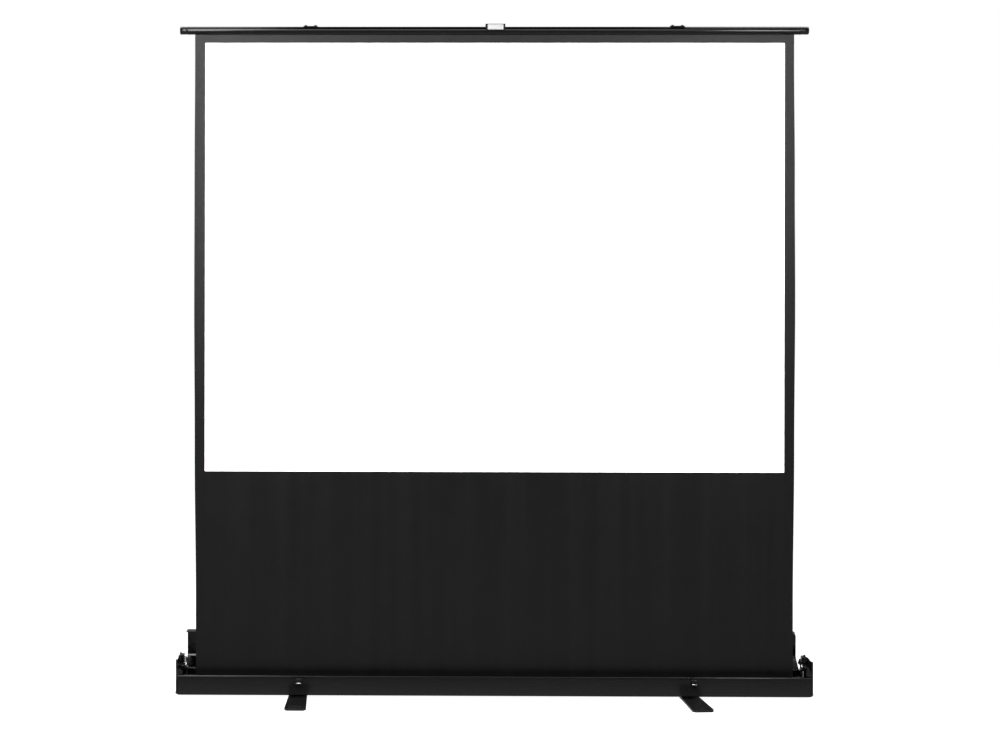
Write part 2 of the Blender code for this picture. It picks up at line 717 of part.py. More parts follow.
def build_spring(roller, finish):
    """The return spring on its arbor, inside the roller; its first end seats in the left plug."""
    start = -(ROLLER_HALF - PLUG_DEPTH) + SEAT
    lead = 2 * SPRING_WIRE
    count = SPRING_CURLS * SPRING_POINTS
    points = [(start, SPRING_RADIUS, 0)]
    for index in range(count + 1):
        angle = 2 * math.pi * index / SPRING_POINTS
        along = start + lead + SPRING_PITCH * index / SPRING_POINTS
        points.append((along, SPRING_RADIUS * math.cos(angle), SPRING_RADIUS * math.sin(angle)))
    points.append((points[-1][0] + lead, points[-1][1], points[-1][2]))
    curve = bpy.data.curves.new("roller_spring", "CURVE")
    curve.dimensions = "3D"
    curve.bevel_depth = SPRING_WIRE
    curve.bevel_resolution = 1
    curve.use_fill_caps = True
    spline = curve.splines.new("POLY")
    spline.points.add(len(points) - 1)
    for point, place in zip(spline.points, points):
        point.co = (*place, 1.0)
    spring = bpy.data.objects.new("roller_spring", curve)
    curve.materials.append(finish["steel"])
    bpy.context.scene.collection.objects.link(spring)
    spring.parent = roller
    least = min(
        (Vector(one) - Vector(other)).length
        for place, one in enumerate(points) for other in points[place + SPRING_POINTS:]
    ) - 2 * SPRING_WIRE
    print(f"roller spring: least gap between curls {least:.5f} m")


# Scissor frame
def build_arm(name, origin_share, axis, angle, front, middle_play, finish):
    """A flat bar with three holes; its origin is at a share of the way along it."""
    low = -origin_share * ARM_LENGTH
    high = low + ARM_LENGTH
    half = ARM_WIDTH / 2
    quarter = math.pi / 2
    outline = arc((high, 0), half, -quarter, quarter) + arc((low, 0), half, quarter, 3 * quarter)
    bar = extrude(outline, "Y", front, front + ARM_THICKNESS)
    arm = add_object(name, bar, finish["arm"], axis, place_of(axis), (0, -angle, 0))
    for along, play in ((low, RUNNING), ((low + high) / 2, middle_play), (high, RUNNING)):
        hole = PIN_RADIUS + play
        cut(arm, rod(hole, "Y", front - CUT_PAST, front + ARM_THICKNESS + CUT_PAST, (along, 0)))


def build_rivet(name, place, carrier, finish):
    """A rivet through both arm planes, with the washer between them."""
    front = ARM_FRONT_Y - SEAT
    rear = ARM_STACK_END + SEAT
    rivet = headed_pin("Y", (
        (PIN_HEAD, front - PIN_HEAD_HEIGHT, front),
        (PIN_RADIUS, front, rear),
        (PIN_HEAD, rear, rear + PIN_HEAD_HEIGHT),
    ))
    add_object(f"{name}_rivet", rivet, finish["steel"], carrier, place)
    washer_front = ARM_FRONT_Y + ARM_THICKNESS + SEAT
    washer_rear = ARM_REAR_Y - SEAT
    bore = PIN_RADIUS + SEAT
    washer = turned([(WASHER_RADIUS, washer_front), (WASHER_RADIUS, washer_rear),
                     (bore, washer_rear), (bore, washer_front)], "Y", PIN_SIDES)
    add_object(f"{name}_washer", washer, finish["nylon"], carrier, place)


def build_scissor(root, finish):
    """Two stages of crossed arms; returns the top tube's and the sliding clip's pivots."""
    fold = pivot("scissor_fold", (-PIVOT_X, 0, LOWER_PIVOT_Z), root)
    lower_cross = pivot("lower_cross", (0, 0, LOWER_PIVOT_Z + STAGE_RISE / 2), fold)
    right_elbow = pivot("right_elbow", (PIVOT_X, 0, ELBOW_Z), fold)
    left_elbow = pivot("left_elbow", (-PIVOT_X, 0, ELBOW_Z), lower_cross)
    shoe = pivot("shoe_pivot", (PIVOT_X, 0, LOWER_PIVOT_Z), lower_cross)
    top = pivot("top_pivot", (-PIVOT_X, 0, UPPER_PIVOT_Z), right_elbow)
    clip = pivot("clip_pivot", (PIVOT_X, 0, UPPER_PIVOT_Z), left_elbow)
    rising = ARM_ANGLE
    falling = math.pi - ARM_ANGLE
    build_arm("lower_arm_left", 0, fold, rising, ARM_FRONT_Y, RUNNING, finish)
    build_arm("lower_arm_right", 1 / 2, lower_cross, falling, ARM_REAR_Y, RUNNING, finish)
    build_arm("upper_arm_left", 0, right_elbow, falling, ARM_REAR_Y, RUNNING, finish)
    build_arm("upper_arm_right", 0, left_elbow, rising, ARM_FRONT_Y, OPEN_PIVOT_PLAY, finish)
    build_rivet("lower_cross", place_of(lower_cross), fold, finish)
    build_rivet("right_elbow", place_of(right_elbow), fold, finish)
    build_rivet("left_elbow", place_of(left_elbow), lower_cross, finish)
    build_rivet("upper_cross", (0, 0, ELBOW_Z + STAGE_RISE / 2), right_elbow, finish)
    build_lower_pivots(root, shoe, finish)
    return top, clip


def build_lower_pivots(root, shoe_axis, finish):
    """The fixed pivot bracket at the left, and the rail with its sliding shoe at the right."""
    base = CASE_FLOOR + SEAT
    head_end = ARM_STACK_END + SEAT + PIN_HEAD_HEIGHT
    plate_front = head_end + SEAT
    plate_rear = plate_front + PIVOT_BRACKET_THICKNESS
    half = PIVOT_BRACKET_WIDTH / 2
    plate = block((-PIVOT_X - half, plate_front, base),
                  (-PIVOT_X + half, plate_rear, base + PIVOT_BRACKET_HEIGHT))
    bracket = add_object("pivot_bracket", plate, finish["steel_dark"], root)
    join(bracket, block((-PIVOT_X - half + RUNNING, plate_front + RUNNING, base),
                        (-PIVOT_X + half - RUNNING, plate_rear + PIVOT_BRACKET_FOOT,
                         base + PIVOT_BRACKET_THICKNESS)))
    centre = (-PIVOT_X, LOWER_PIVOT_Z)
    cut(bracket, rod(PIN_RADIUS + SEAT, "Y", plate_front - CUT_PAST, plate_rear + CUT_PAST, centre))
    arm_front = ARM_FRONT_Y - SEAT
    arm_rear = ARM_FRONT_Y + ARM_THICKNESS + SEAT
    pin = headed_pin("Y", (
        (PIN_HEAD, arm_front - PIN_HEAD_HEIGHT, arm_front),
        (PIN_RADIUS, arm_front, arm_rear),
        (CLIP_BOSS_RADIUS, arm_rear, plate_front - SEAT),
        (PIN_RADIUS, plate_front - SEAT, plate_rear + SEAT),
        (CLIP_BOSS_RADIUS, plate_rear + SEAT, plate_rear + SEAT + PIN_HEAD_HEIGHT),
    ), centre)
    add_object("lower_left_pin", pin, finish["steel"], root)
    build_rail(root, finish)
    build_shoe(shoe_axis, finish)


def build_rail(root, finish):
    """A C channel on the case floor, its slot facing the arms."""
    low_z = LOWER_PIVOT_Z - RAIL_HEIGHT / 2
    high_z = LOWER_PIVOT_Z + RAIL_HEIGHT / 2
    rear = RAIL_FRONT_Y + RAIL_DEPTH
    slot = RAIL_SLOT / 2
    inside = RAIL_FRONT_Y + RAIL_WALL
    outline = [
        (RAIL_FRONT_Y, LOWER_PIVOT_Z + slot),
        (RAIL_FRONT_Y, high_z),
        (rear, high_z),
        (rear, low_z),
        (RAIL_FRONT_Y, low_z),
        (RAIL_FRONT_Y, LOWER_PIVOT_Z - slot),
        (inside, LOWER_PIVOT_Z - slot),
        (inside, low_z + RAIL_WALL),
        (rear - RAIL_WALL, low_z + RAIL_WALL),
        (rear - RAIL_WALL, high_z - RAIL_WALL),
        (inside, high_z - RAIL_WALL),
        (inside, LOWER_PIVOT_Z + slot),
    ]
    rail = extrude(outline, "X", PIVOT_X - RAIL_INSIDE_PIVOT, CASE_HALF - SEAT)
    add_object("slide_rail", rail, finish["steel_dark"], root)


def build_shoe(axis, finish):
    """The sliding shoe inside the rail, and the pin that carries the right lower arm."""
    place = place_of(axis)
    front = RAIL_FRONT_Y + RAIL_WALL + RUNNING
    rear = RAIL_FRONT_Y + RAIL_DEPTH - RAIL_WALL - RUNNING
    tall = RAIL_HEIGHT / 2 - RAIL_WALL - RUNNING
    half = SHOE_LENGTH / 2
    body = block((-half, front, -tall), (half, rear, tall))
    shoe = add_object("slide_shoe", body, finish["nylon"], axis, place)
    cut(shoe, rod(PIN_RADIUS + SEAT, "Y", front - CUT_PAST, rear + CUT_PAST))
    head = ARM_REAR_Y - SEAT
    pin = headed_pin("Y", (
        (PIN_HEAD, head - PIN_HEAD_HEIGHT, head),
        (PIN_RADIUS, head, rear - RUNNING),
    ))
    add_object("lower_right_pin", pin, finish["steel"], axis, place)


# Top tube and what it carries
def build_clip(name, bore, boss_end, axis, toward_middle, finish):
    """A saddle over the tube with a lug behind it for the arm's pin."""
    place = place_of(axis)
    up = TUBE_PIVOT_DROP
    outer = bore + CLIP_WALL
    top = math.pi / 2
    front = top + CLIP_FRONT_ANGLE
    rear = top - CLIP_REAR_ANGLE
    outline = arc((0, up), outer, rear, front, 2 * ARC_STEPS)
    outline += arc((0, up), bore, front, rear, 2 * ARC_STEPS)
    low, high = sorted((toward_middle * CLIP_IN, -toward_middle * CLIP_OUT))
    clip = add_object(name, extrude(outline, "X", low, high), finish["plastic"], axis, place)
    lug_rear = CLIP_LUG_FRONT + CLIP_LUG_THICKNESS
    lug_top = up - CLIP_LUG_RADIUS / 2
    lug = arc((0, 0), CLIP_LUG_RADIUS, math.pi, 2 * math.pi)
    lug += [(CLIP_LUG_RADIUS, lug_top), (-CLIP_LUG_RADIUS, lug_top)]
    join(clip, extrude(lug, "Y", CLIP_LUG_FRONT, lug_rear))
    if boss_end > lug_rear:
        join(clip, rod(CLIP_BOSS_RADIUS, "Y", lug_rear - RUNNING, boss_end))
    for along in (low + CLIP_NUB_INSET, high - CLIP_NUB_INSET):
        nub_top = up + outer + CLIP_NUB_HEIGHT
        join(clip, rod(CLIP_NUB_RADIUS, "Z", up + outer - CLIP_WALL / 2, nub_top, (along, 0)))
    cut(clip, rod(PIN_RADIUS + SEAT, "Y", CLIP_LUG_FRONT - CUT_PAST, boss_end + CUT_PAST))


def build_top(top_axis, clip_axis, finish):
    """The tube with its plugs and spline, both clips with their pins, and the handle."""
    build_tube(top_axis, finish)
    lug_rear = CLIP_LUG_FRONT + CLIP_LUG_THICKNESS
    build_clip("fixed_clip", TUBE_RADIUS + SEAT, ARM_REAR_Y - SEAT, top_axis, 1, finish)
    build_clip("sliding_clip", TUBE_RADIUS + SLIDING_PLAY, lug_rear, clip_axis, -1, finish)
    pins = (
        ("upper_left_pin", ARM_STACK_END + SEAT, top_axis),
        ("upper_right_pin", ARM_REAR_Y - ARM_GAP + SEAT, clip_axis),
    )
    for name, head, axis in pins:
        pin = headed_pin("Y", (
            (PIN_RADIUS, CLIP_LUG_FRONT + SEAT, head),
            (PIN_HEAD, head, head + PIN_HEAD_HEIGHT),
        ))
        add_object(name, pin, finish["steel"], axis, place_of(axis))
    build_handle(top_axis, finish)


def build_tube(axis, finish):
    """The slotted top tube, the spline that holds the fabric in it, and its end plugs."""
    place = (0, 0, TUBE_Z)
    tube = slotted_tube(TUBE_RADIUS, TUBE_WALL, TUBE_SLOT / 2, -TUBE_HALF, TUBE_HALF)
    add_object("top_tube", tube, finish["case"], axis, place)
    half = TUBE_HALF - END_PLUG_DEPTH - SPLINE_END_GAP
    spline = rod(SPLINE_RADIUS, "X", -half, half, sides=PIN_SIDES // 2)
    add_object("fabric_spline", spline, finish["nylon"], axis, (0, 0, SPLINE_Z))
    inner = TUBE_RADIUS - TUBE_WALL - SEAT
    flange = TUBE_HALF + SEAT
    flange_end = flange + END_PLUG_FLANGE
    end = TUBE_HALF + END_PLUG_LENGTH
    for side, sign in (("left", -1), ("right", 1)):
        profile = [
            (0, sign * (TUBE_HALF - END_PLUG_DEPTH)),
            (inner, sign * (TUBE_HALF - END_PLUG_DEPTH)),
            (inner, sign * flange),
            (END_PLUG_FLANGE_RADIUS, sign * flange),
            (END_PLUG_FLANGE_RADIUS, sign * flange_end),
            (TUBE_RADIUS, sign * flange_end),
            (TUBE_RADIUS, sign * (end - END_PLUG_CHAMFER)),
            (TUBE_RADIUS - END_PLUG_CHAMFER, sign * end),
            (0, sign * end),
        ]
        add_object(f"tube_plug_{side}", turned(profile, "X"), finish["plastic"], axis, place)


def build_handle(axis, finish):
    """A saddle over the middle of the tube, with a bare plate in its front."""
    place = (HANDLE_OFFSET, 0, TUBE_Z)
    bore = TUBE_RADIUS + SEAT
    start = HANDLE_WRAP_START
    end = math.pi + math.asin(HANDLE_DROP / bore)
    outline = [
        (-HANDLE_FRONT, -HANDLE_DROP),
        (-HANDLE_FRONT, HANDLE_RISE - HANDLE_RIM),
        (-HANDLE_FRONT + HANDLE_RIM, HANDLE_RISE),
        (HANDLE_SHOULDER - HANDLE_POST, HANDLE_RISE),
        (bore + CLIP_WALL, HANDLE_SHOULDER),
        (bore + CLIP_WALL, bore * math.sin(start)),
    ]
    outline += arc((0, 0), bore, start, end, 2 * ARC_STEPS)
    half = HANDLE_WIDTH / 2
    shape = extrude(outline, "X", -half, half)
    saddle = add_object("handle_saddle", shape, finish["plastic"], axis, place)
    for sign in (-1, 1):
        low, high = sorted((sign * (half - HANDLE_POST), sign * (half - SEAT)))
        join(saddle, block((low, -HANDLE_FRONT - HANDLE_RIM, 0),
                           (high, -HANDLE_FRONT + HANDLE_RIM, HANDLE_RISE - HANDLE_RIM)))
    plate_rear = -HANDLE_FRONT - SEAT
    plate_top = HANDLE_RISE - HANDLE_RIM
    plate = block((-PLATE_WIDTH / 2, plate_rear - PLATE_THICKNESS, plate_top - PLATE_HEIGHT),
                  (PLATE_WIDTH / 2, plate_rear, plate_top))
    add_object("handle_plate", plate, finish["silver"], axis, place)


# Fabric
def build_fabric(root, finish):
    """The black backed sheet from roller to tube, and the white picture area on its front."""
    half = FABRIC_THICKNESS / 2
    sheet = block((-FABRIC_HALF, -half, ROLLER_Z), (FABRIC_HALF, half, FABRIC_TOP))
    add_object("screen_fabric", sheet, finish["black_fabric"], root)
    rear = -half - SEAT
    white = block((-IMAGE_WIDTH / 2, rear - WHITE_THICKNESS, IMAGE_TOP - IMAGE_HEIGHT),
                  (IMAGE_WIDTH / 2, rear, IMAGE_TOP))
    add_object("image_surface", white, finish["white_fabric"], root)


# Lid
def lid_outline():
    """The closed lid's section about its hinge: hook, slanted back, top and front skirt."""
    inner = BEAD_RADIUS + HOOK_GAP
    outer = inner + HOOK_WALL
    reach = HINGE_Y - FRONT_FACE
    slant = math.atan2(LID_RISE, -LID_SLANT_RUN)
    spread = math.asin(LID_WALL / 2 / outer)
    web = (outer * math.cos(slant - spread), outer * math.sin(slant - spread))
    corner = LID_WALL
    path = [
        web,
        (-LID_SLANT_RUN, LID_RISE),
        (-reach + corner, LID_RISE),
        (-reach, LID_RISE - corner),
        (-reach, LID_RISE - LID_SKIRT),
    ]
    outline = arc((0, 0), outer, HOOK_START, slant - 2 * spread, 5)
    outline += path
    outline += list(reversed(beside(path, LID_WALL)))[:-1]
    outline += arc((0, 0), outer, slant + 2 * spread, HOOK_END, 6)
    outline += arc((0, 0), inner, HOOK_END, HOOK_START, 10)
    return outline


def build_lid(root, finish):
    """The lid, hooked on the rear wall's bead and turned open, its catches and handle."""
    hinge = pivot("lid_hinge", (0, HINGE_Y, HINGE_Z), root)
    place = place_of(hinge)
    turn = (-LID_OPEN, 0, 0)
    panel = extrude(lid_outline(), "X", -LID_HALF, LID_HALF)
    add_object("lid_panel", panel, finish["case"], hinge, place, turn)
    face = FRONT_FACE - HINGE_Y - SEAT
    low = LID_RISE - LID_SKIRT + LID_CATCH_ABOVE_EDGE
    high = low + LID_CATCH_HEIGHT
    outline = [
        (face, low),
        (face, high),
        (face - LID_CATCH_DEPTH, high),
        (face - LID_CATCH_DEPTH, high - LID_WALL),
        (face - LID_WALL, high - LID_WALL),
        (face - LID_WALL, low),
    ]
    for side, sign in (("left", -1), ("right", 1)):
        middle = LATCH_OFFSET + sign * LATCH_X
        catch = extrude(outline, "X", middle - LID_CATCH_WIDTH / 2, middle + LID_CATCH_WIDTH / 2)
        add_object(f"lid_catch_{side}", catch, finish["steel"], hinge, place, turn)
    base = LID_RISE + SEAT
    half = CARRY_WIDTH / 2
    grip = base + CARRY_HEIGHT - CARRY_GRIP
    shape = [
        (half - CARRY_LEG, base),
        (half, base),
        (half - CARRY_LEG / 2, base + CARRY_HEIGHT),
        (CARRY_LEG / 2 - half, base + CARRY_HEIGHT),
        (-half, base),
        (CARRY_LEG - half, base),
        (CARRY_LEG - half + CARRY_GRIP / 2, grip),
        (half - CARRY_LEG - CARRY_GRIP / 2, grip),
    ]
    middle = (face - LID_SLANT_RUN) / 2
    arch = extrude(shape, "Y", middle - CARRY_DEPTH / 2, middle + CARRY_DEPTH / 2)
    add_object("carry_handle", arch, finish["plastic"], hinge, place, turn)


# Latches
def build_latches(root, finish):
    """A base with two ears on the front wall, and a lever that hangs between them."""
    wall = FRONT_FACE - SEAT
    plate_front = wall - LATCH_BASE_THICKNESS
    pin_y = plate_front - LATCH_EAR_DEPTH / 2
    barrel = LATCH_LEVER_THICKNESS + SEAT
    ear_front = plate_front - LATCH_EAR_DEPTH
    low = LATCH_BASE_TOP - LATCH_BASE_HEIGHT
    half = LATCH_WIDTH / 2
    ear_outline = [
        (plate_front + LATCH_BASE_THICKNESS / 2, LATCH_BASE_TOP - LATCH_EAR_HEIGHT),
        (plate_front + LATCH_BASE_THICKNESS / 2, LATCH_BASE_TOP),
        (ear_front + LATCH_EAR, LATCH_BASE_TOP),
        (ear_front, LATCH_BASE_TOP - LATCH_EAR / 2),
        (ear_front, LATCH_BASE_TOP - LATCH_EAR_HEIGHT + LATCH_EAR / 2),
        (ear_front + LATCH_EAR, LATCH_BASE_TOP - LATCH_EAR_HEIGHT),
    ]
    lever_half = half - LATCH_EAR - RUNNING
    for side, sign in (("left", -1), ("right", 1)):
        middle = LATCH_OFFSET + sign * LATCH_X
        plate = block((middle - half, plate_front, low), (middle + half, wall, LATCH_BASE_TOP))
        base = add_object(f"latch_base_{side}", plate, finish["steel_dark"], root)
        for ear_side in (-1, 1):
            edges = sorted((ear_side * (half - SEAT), ear_side * (half - LATCH_EAR)))
            join(base, extrude(ear_outline, "X", middle + edges[0], middle + edges[1]))
        cut(base, rod(LATCH_PIN_RADIUS + SEAT, "X", middle - half - CUT_PAST,
                      middle + half + CUT_PAST, (pin_y, LATCH_PIN_Z), PIN_SIDES // 2))
        axis = pivot(f"latch_{side}", (middle, pin_y, LATCH_PIN_Z), root)
        drop = low - LATCH_PIN_Z
        outline = arc((0, 0), barrel, 0, math.pi, 6)
        outline += [
            (-barrel, drop + LATCH_LEVER_THICKNESS),
            (-barrel - LATCH_LEVER_THICKNESS, drop),
            (-barrel, drop - LATCH_LEVER_THICKNESS / 2),
            (LATCH_LEVER_THICKNESS - barrel, drop),
            (LATCH_LEVER_THICKNESS - barrel, -barrel),
            (barrel - LATCH_LEVER_THICKNESS / 2, -barrel),
        ]
        flap = extrude(outline, "X", -lever_half, lever_half)
        lever = add_object(f"latch_lever_{side}", flap, finish["steel_dark"], axis, place_of(axis))
        join(lever, rod(LATCH_PIN_RADIUS, "X", -half, half, sides=PIN_SIDES // 2))


def build_screen():
    """Build every piece, from the case up."""
    for old in list(bpy.data.objects):
        bpy.data.objects.remove(old, do_unlink=True)
    finish = {
        "case": paint("black_enamel", (0.012, 0.012, 0.013), 0.28, 0.3),
        "plastic": paint("black_plastic", (0.02, 0.02, 0.021), 0.45),
        "foot": paint("foot_plastic", (0.022, 0.022, 0.024), 0.5),
        "arm": paint("arm_enamel", (0.015, 0.015, 0.016), 0.4, 0.2),
        "steel": paint("bright_steel", (0.55, 0.55, 0.56), 0.3, 1.0),
        "steel_dark": paint("dark_steel", (0.05, 0.05, 0.055), 0.4, 0.6),
        "aluminium": paint("mill_aluminium", (0.6, 0.6, 0.62), 0.35, 1.0),
        "nylon": paint("nylon", (0.6, 0.6, 0.58), 0.5),
        "silver": paint("silver_plate", (0.75, 0.75, 0.77), 0.35, 0.8),
        "black_fabric": paint("black_cloth", (0.018, 0.018, 0.019), 0.8),
        "white_fabric": paint("white_surface", (0.95, 0.95, 0.95), 0.7),
    }
    root = pivot("case_frame", (0, 0, 0))
    build_feet(root, finish)
    build_case(root, finish)
    build_roller(root, finish)
    top, clip = build_scissor(root, finish)
    build_top(top, clip, finish)
    build_fabric(root, finish)
    build_lid(root, finish)
    build_latches(root, finish)


build_screen()
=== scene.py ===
"""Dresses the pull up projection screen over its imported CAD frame, for one rendered view.

Metres, +Z up, +X to the right as seen from the audience, front towards -Y.
"""

import json
import logging
import math
from abc import ABC, abstractmethod
from collections.abc import Sequence
from dataclasses import dataclass
from enum import Enum
from functools import cache

import bmesh
import bpy
from bpy.types import Material, Node, NodeSocket, Object
from mathutils import Euler, Matrix, Vector


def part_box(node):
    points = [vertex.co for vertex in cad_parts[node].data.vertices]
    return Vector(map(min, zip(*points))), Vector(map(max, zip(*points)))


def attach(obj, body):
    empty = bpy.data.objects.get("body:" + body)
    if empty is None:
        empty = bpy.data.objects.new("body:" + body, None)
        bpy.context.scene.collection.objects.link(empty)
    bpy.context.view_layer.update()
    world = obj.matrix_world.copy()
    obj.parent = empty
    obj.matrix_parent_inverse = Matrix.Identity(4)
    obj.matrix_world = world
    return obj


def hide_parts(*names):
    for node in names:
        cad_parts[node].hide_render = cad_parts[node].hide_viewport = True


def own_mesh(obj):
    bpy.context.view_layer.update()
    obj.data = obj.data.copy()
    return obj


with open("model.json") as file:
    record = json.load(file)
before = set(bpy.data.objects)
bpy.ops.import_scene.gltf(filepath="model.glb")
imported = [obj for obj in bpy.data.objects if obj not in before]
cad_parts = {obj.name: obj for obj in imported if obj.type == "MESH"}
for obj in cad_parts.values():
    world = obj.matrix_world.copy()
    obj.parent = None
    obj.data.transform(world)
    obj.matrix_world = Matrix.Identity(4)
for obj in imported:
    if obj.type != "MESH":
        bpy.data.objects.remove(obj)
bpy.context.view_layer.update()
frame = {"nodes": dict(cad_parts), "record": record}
log = logging.getLogger("projection_screen")

Pair = tuple[float, float]
Point = tuple[float, float, float]
Colour = tuple[float, float, float]
QUARTER = math.pi / 2


class Body(Enum):
    """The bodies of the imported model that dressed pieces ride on."""

    CASE = "case"
    FOOT_LEFT = "foot_left"
    FOOT_RIGHT = "foot_right"
    ROLLER = "roller"
    LOWER_ARM_LEFT = "lower_arm_left"
    LOWER_ARM_RIGHT = "lower_arm_right"
    UPPER_ARM_LEFT = "upper_arm_left"
    UPPER_ARM_RIGHT = "upper_arm_right"
    SHOE = "shoe"
    TOP_BAR = "top_bar"
    SLIDING_CLIP = "sliding_clip"
    LID = "lid"
    LATCH_LEFT = "latch_left"
    LATCH_RIGHT = "latch_right"


class Slot(Enum):
    """The record's material slots."""

    CASE_ENAMEL = "case_enamel"
    BLACK_PLASTIC = "black_plastic"
    FOOT_PLASTIC = "foot_plastic"
    ARM_ENAMEL = "arm_enamel"
    BRIGHT_STEEL = "bright_steel"
    DARK_STEEL = "dark_steel"
    MILL_ALUMINIUM = "mill_aluminium"
    NYLON = "nylon"
    SILVER_PLATE = "silver_plate"
    BLACK_FABRIC = "black_fabric"
    WHITE_FABRIC = "white_fabric"


class Side(Enum):
    """Left and right as seen from the audience."""

    LEFT = -1
    RIGHT = 1

    @property
    def word(self) -> str:
        """The side's name in lower case."""
        return self.name.lower()


class NodeTree:
    """A node tree, with short calls that add and join its nodes."""

    def __init__(self, tree: bpy.types.NodeTree) -> None:
        """Work on a tree."""
        self.tree = tree

    def feed(self, socket: NodeSocket, value: object) -> None:
        """Link a socket to another one, or set its value.

        Args:
            socket: The input to feed.
            value: An output socket, a number or a tuple.
        """
        if isinstance(value, NodeSocket):
            self.tree.links.new(value, socket)
        else:
            socket.default_value = value

    def add(self, kind: str, inputs: dict | None = None, **settings: object) -> Node:
        """Add a node.

        Args:
            kind: The node's type name.
            inputs: What feeds its inputs, by name or number, a list where it is more than one.
            **settings: The node's own properties.

        Returns:
            The new node.
        """
        node = self.tree.nodes.new(kind)
        for name, value in settings.items():
            setattr(node, name, value)
        for key, value in (inputs or {}).items():
            for one in value if isinstance(value, list) else [value]:
                self.feed(node.inputs[key], one)
        return node

    def spread(self, value: NodeSocket, low: float, high: float,
               from_low: float = 0.3, from_high: float = 0.7) -> NodeSocket:
        """Map a factor between from_low and from_high to a range between low and high."""
        return self.add("ShaderNodeMapRange", {
            "Value": value, "From Min": from_low, "From Max": from_high,
            "To Min": low, "To Max": high,
        }).outputs["Result"]

    def product(self, one: object, other: object, operation: str = "MULTIPLY") -> NodeSocket:
        """Combine two numbers by a Math node's operation."""
        return self.add("ShaderNodeMath", {0: one, 1: other}, operation=operation).outputs["Value"]


class MaterialTree(NodeTree):
    """A new material's node tree, its patterns on the object's own coordinates."""

    def __init__(self, name: str) -> None:
        """Start a material with one Principled shader.

        Args:
            name: The material's name.
        """
        self.material = bpy.data.materials.new(name)
        self.material.use_nodes = True
        super().__init__(self.material.node_tree)
        self.shader = self.tree.nodes["Principled BSDF"]
        self.place = self.add("ShaderNodeTexCoord").outputs["Object"]

    def stretched(self, scale: Point) -> NodeSocket:
        """The object's coordinates scaled along each axis."""
        scaled = self.add("ShaderNodeMapping", {"Vector": self.place, "Scale": scale})
        return scaled.outputs["Vector"]

    def noise(self, scale: float, detail: float = 3.0, rough: float = 0.55,
              place: NodeSocket | None = None) -> NodeSocket:
        """Grey noise with so many features to the metre, and finer layers of a given strength."""
        return self.add("ShaderNodeTexNoise", {
            "Vector": place or self.place, "Scale": scale, "Detail": detail, "Roughness": rough,
        }).outputs["Fac"]

    def mixed(self, factor: object, one: object, other: object) -> NodeSocket:
        """Blend two colours.

        Args:
            factor: 0 for the first colour, 1 for the second.
            one: The first colour, or an output.
            other: The second colour, or an output.

        Returns:
            The colour output.
        """
        node = self.add("ShaderNodeMix", {"Factor": factor}, data_type="RGBA")
        sockets = {socket.identifier: socket for socket in (*node.inputs, *node.outputs)}
        for key, value in (("A_Color", one), ("B_Color", other)):
            self.feed(sockets[key], (*value, 1.0) if isinstance(value, tuple) else value)
        return sockets["Result_Color"]

    def bump(self, height: NodeSocket, depth: float, strength: float = 1.0,
             below: NodeSocket | None = None) -> NodeSocket:
        """A bump, on top of another one where it is given.

        Args:
            height: The height's factor.
            depth: How deep a factor of 1 is, in metres.
            strength: The share of the bump that is used.
            below: The normal of the bump underneath.

        Returns:
            The normal output.
        """
        inputs = {"Height": height, "Distance": depth, "Strength": strength}
        if below:
            inputs["Normal"] = below
        return self.add("ShaderNodeBump", inputs).outputs["Normal"]

    def scuffs(self, along: Point, amount: float) -> NodeSocket:
        """Sparse fine scratches that run one way.

        Args:
            along: The stretch of the coordinates; a small factor lengthens the scratches there.
            amount: How strong they are.

        Returns:
            A factor, 0 between the scratches.
        """
        lines = self.noise(1.0, 2.0, 0.7, self.stretched(along))
        patch = self.spread(self.noise(9.0, 2.0), 0.0, amount, 0.42, 0.68)
        return self.product(self.spread(lines, 0.0, 1.0, 0.64, 0.74), patch)

    def finish(self, colour: NodeSocket, roughness: NodeSocket, normal: NodeSocket,
               **constants: float) -> Material:
        """Feed the shader.

        Args:
            colour: The base colour.
            roughness: The roughness.
            normal: The normal.
            **constants: Values for the shader's other inputs, with _ for a space.

        Returns:
            The finished material.
        """
        for name, value in {"Base_Color": colour, "Roughness": roughness, "Normal": normal,
                            **constants}.items():
            self.feed(self.shader.inputs[name.replace("_", " ")], value)
        return self.material


@dataclass(frozen=True)
class Finish(ABC):
    """One real finish in two close tones, made into a material when it is first asked for."""

    name: str
    colour: Colour
    other: Colour
    roughness: float
    specular: float = 0.5

    @abstractmethod
    def make(self) -> Material:
        """Build the material."""


@dataclass(frozen=True)
class Enamel(Finish):
    """Stoved enamel on metal, with orange peel, wiping marks, and painted light that makes it
    lighter low down.
    """

    peel: float = 0.000012
    peel_scale: float = 420.0
    marks_along: Point = (5.0, 900.0, 900.0)
    # Painted reflection: the lighter colour the enamel is given near the bottom, and the heights
    # over which it fades in.
    painted_low_light: Colour = (0.0042, 0.0042, 0.0044)
    painted_light_from: float = 0.010
    painted_light_below: float = 0.062

    def make(self) -> Material:
        """Build the enamel's material."""
        tree = MaterialTree(self.name)
        cloud = tree.noise(5.0, 4.0, 0.6)
        scratches = tree.scuffs(self.marks_along, 0.5)
        base = tree.mixed(tree.spread(cloud, 0.0, 0.5), self.colour, self.other)
        # Painted reflection and shade: the enamel turns lighter towards the bottom, standing in for
        # the floor's reflection low on the wall and the shade under the lip.
        height = tree.add("ShaderNodeSeparateXYZ", {"Vector": tree.place}).outputs["Z"]
        low = tree.spread(height, 1.0, 0.0, self.painted_light_from, self.painted_light_below)
        colour = tree.mixed(low, tree.mixed(scratches, base, self.other), self.painted_low_light)
        wiped = tree.noise(1.0, 3.0, 0.6, tree.stretched((2.0, 60.0, 60.0)))
        worn = tree.spread(wiped, self.roughness * 0.8, self.roughness * 1.3)
        roughness = tree.product(worn, tree.product(scratches, 0.15), "ADD")
        normal = tree.bump(tree.noise(self.peel_scale, 1.0), self.peel, 0.6)
        return tree.finish(colour, roughness, normal, Specular_IOR_Level=self.specular)


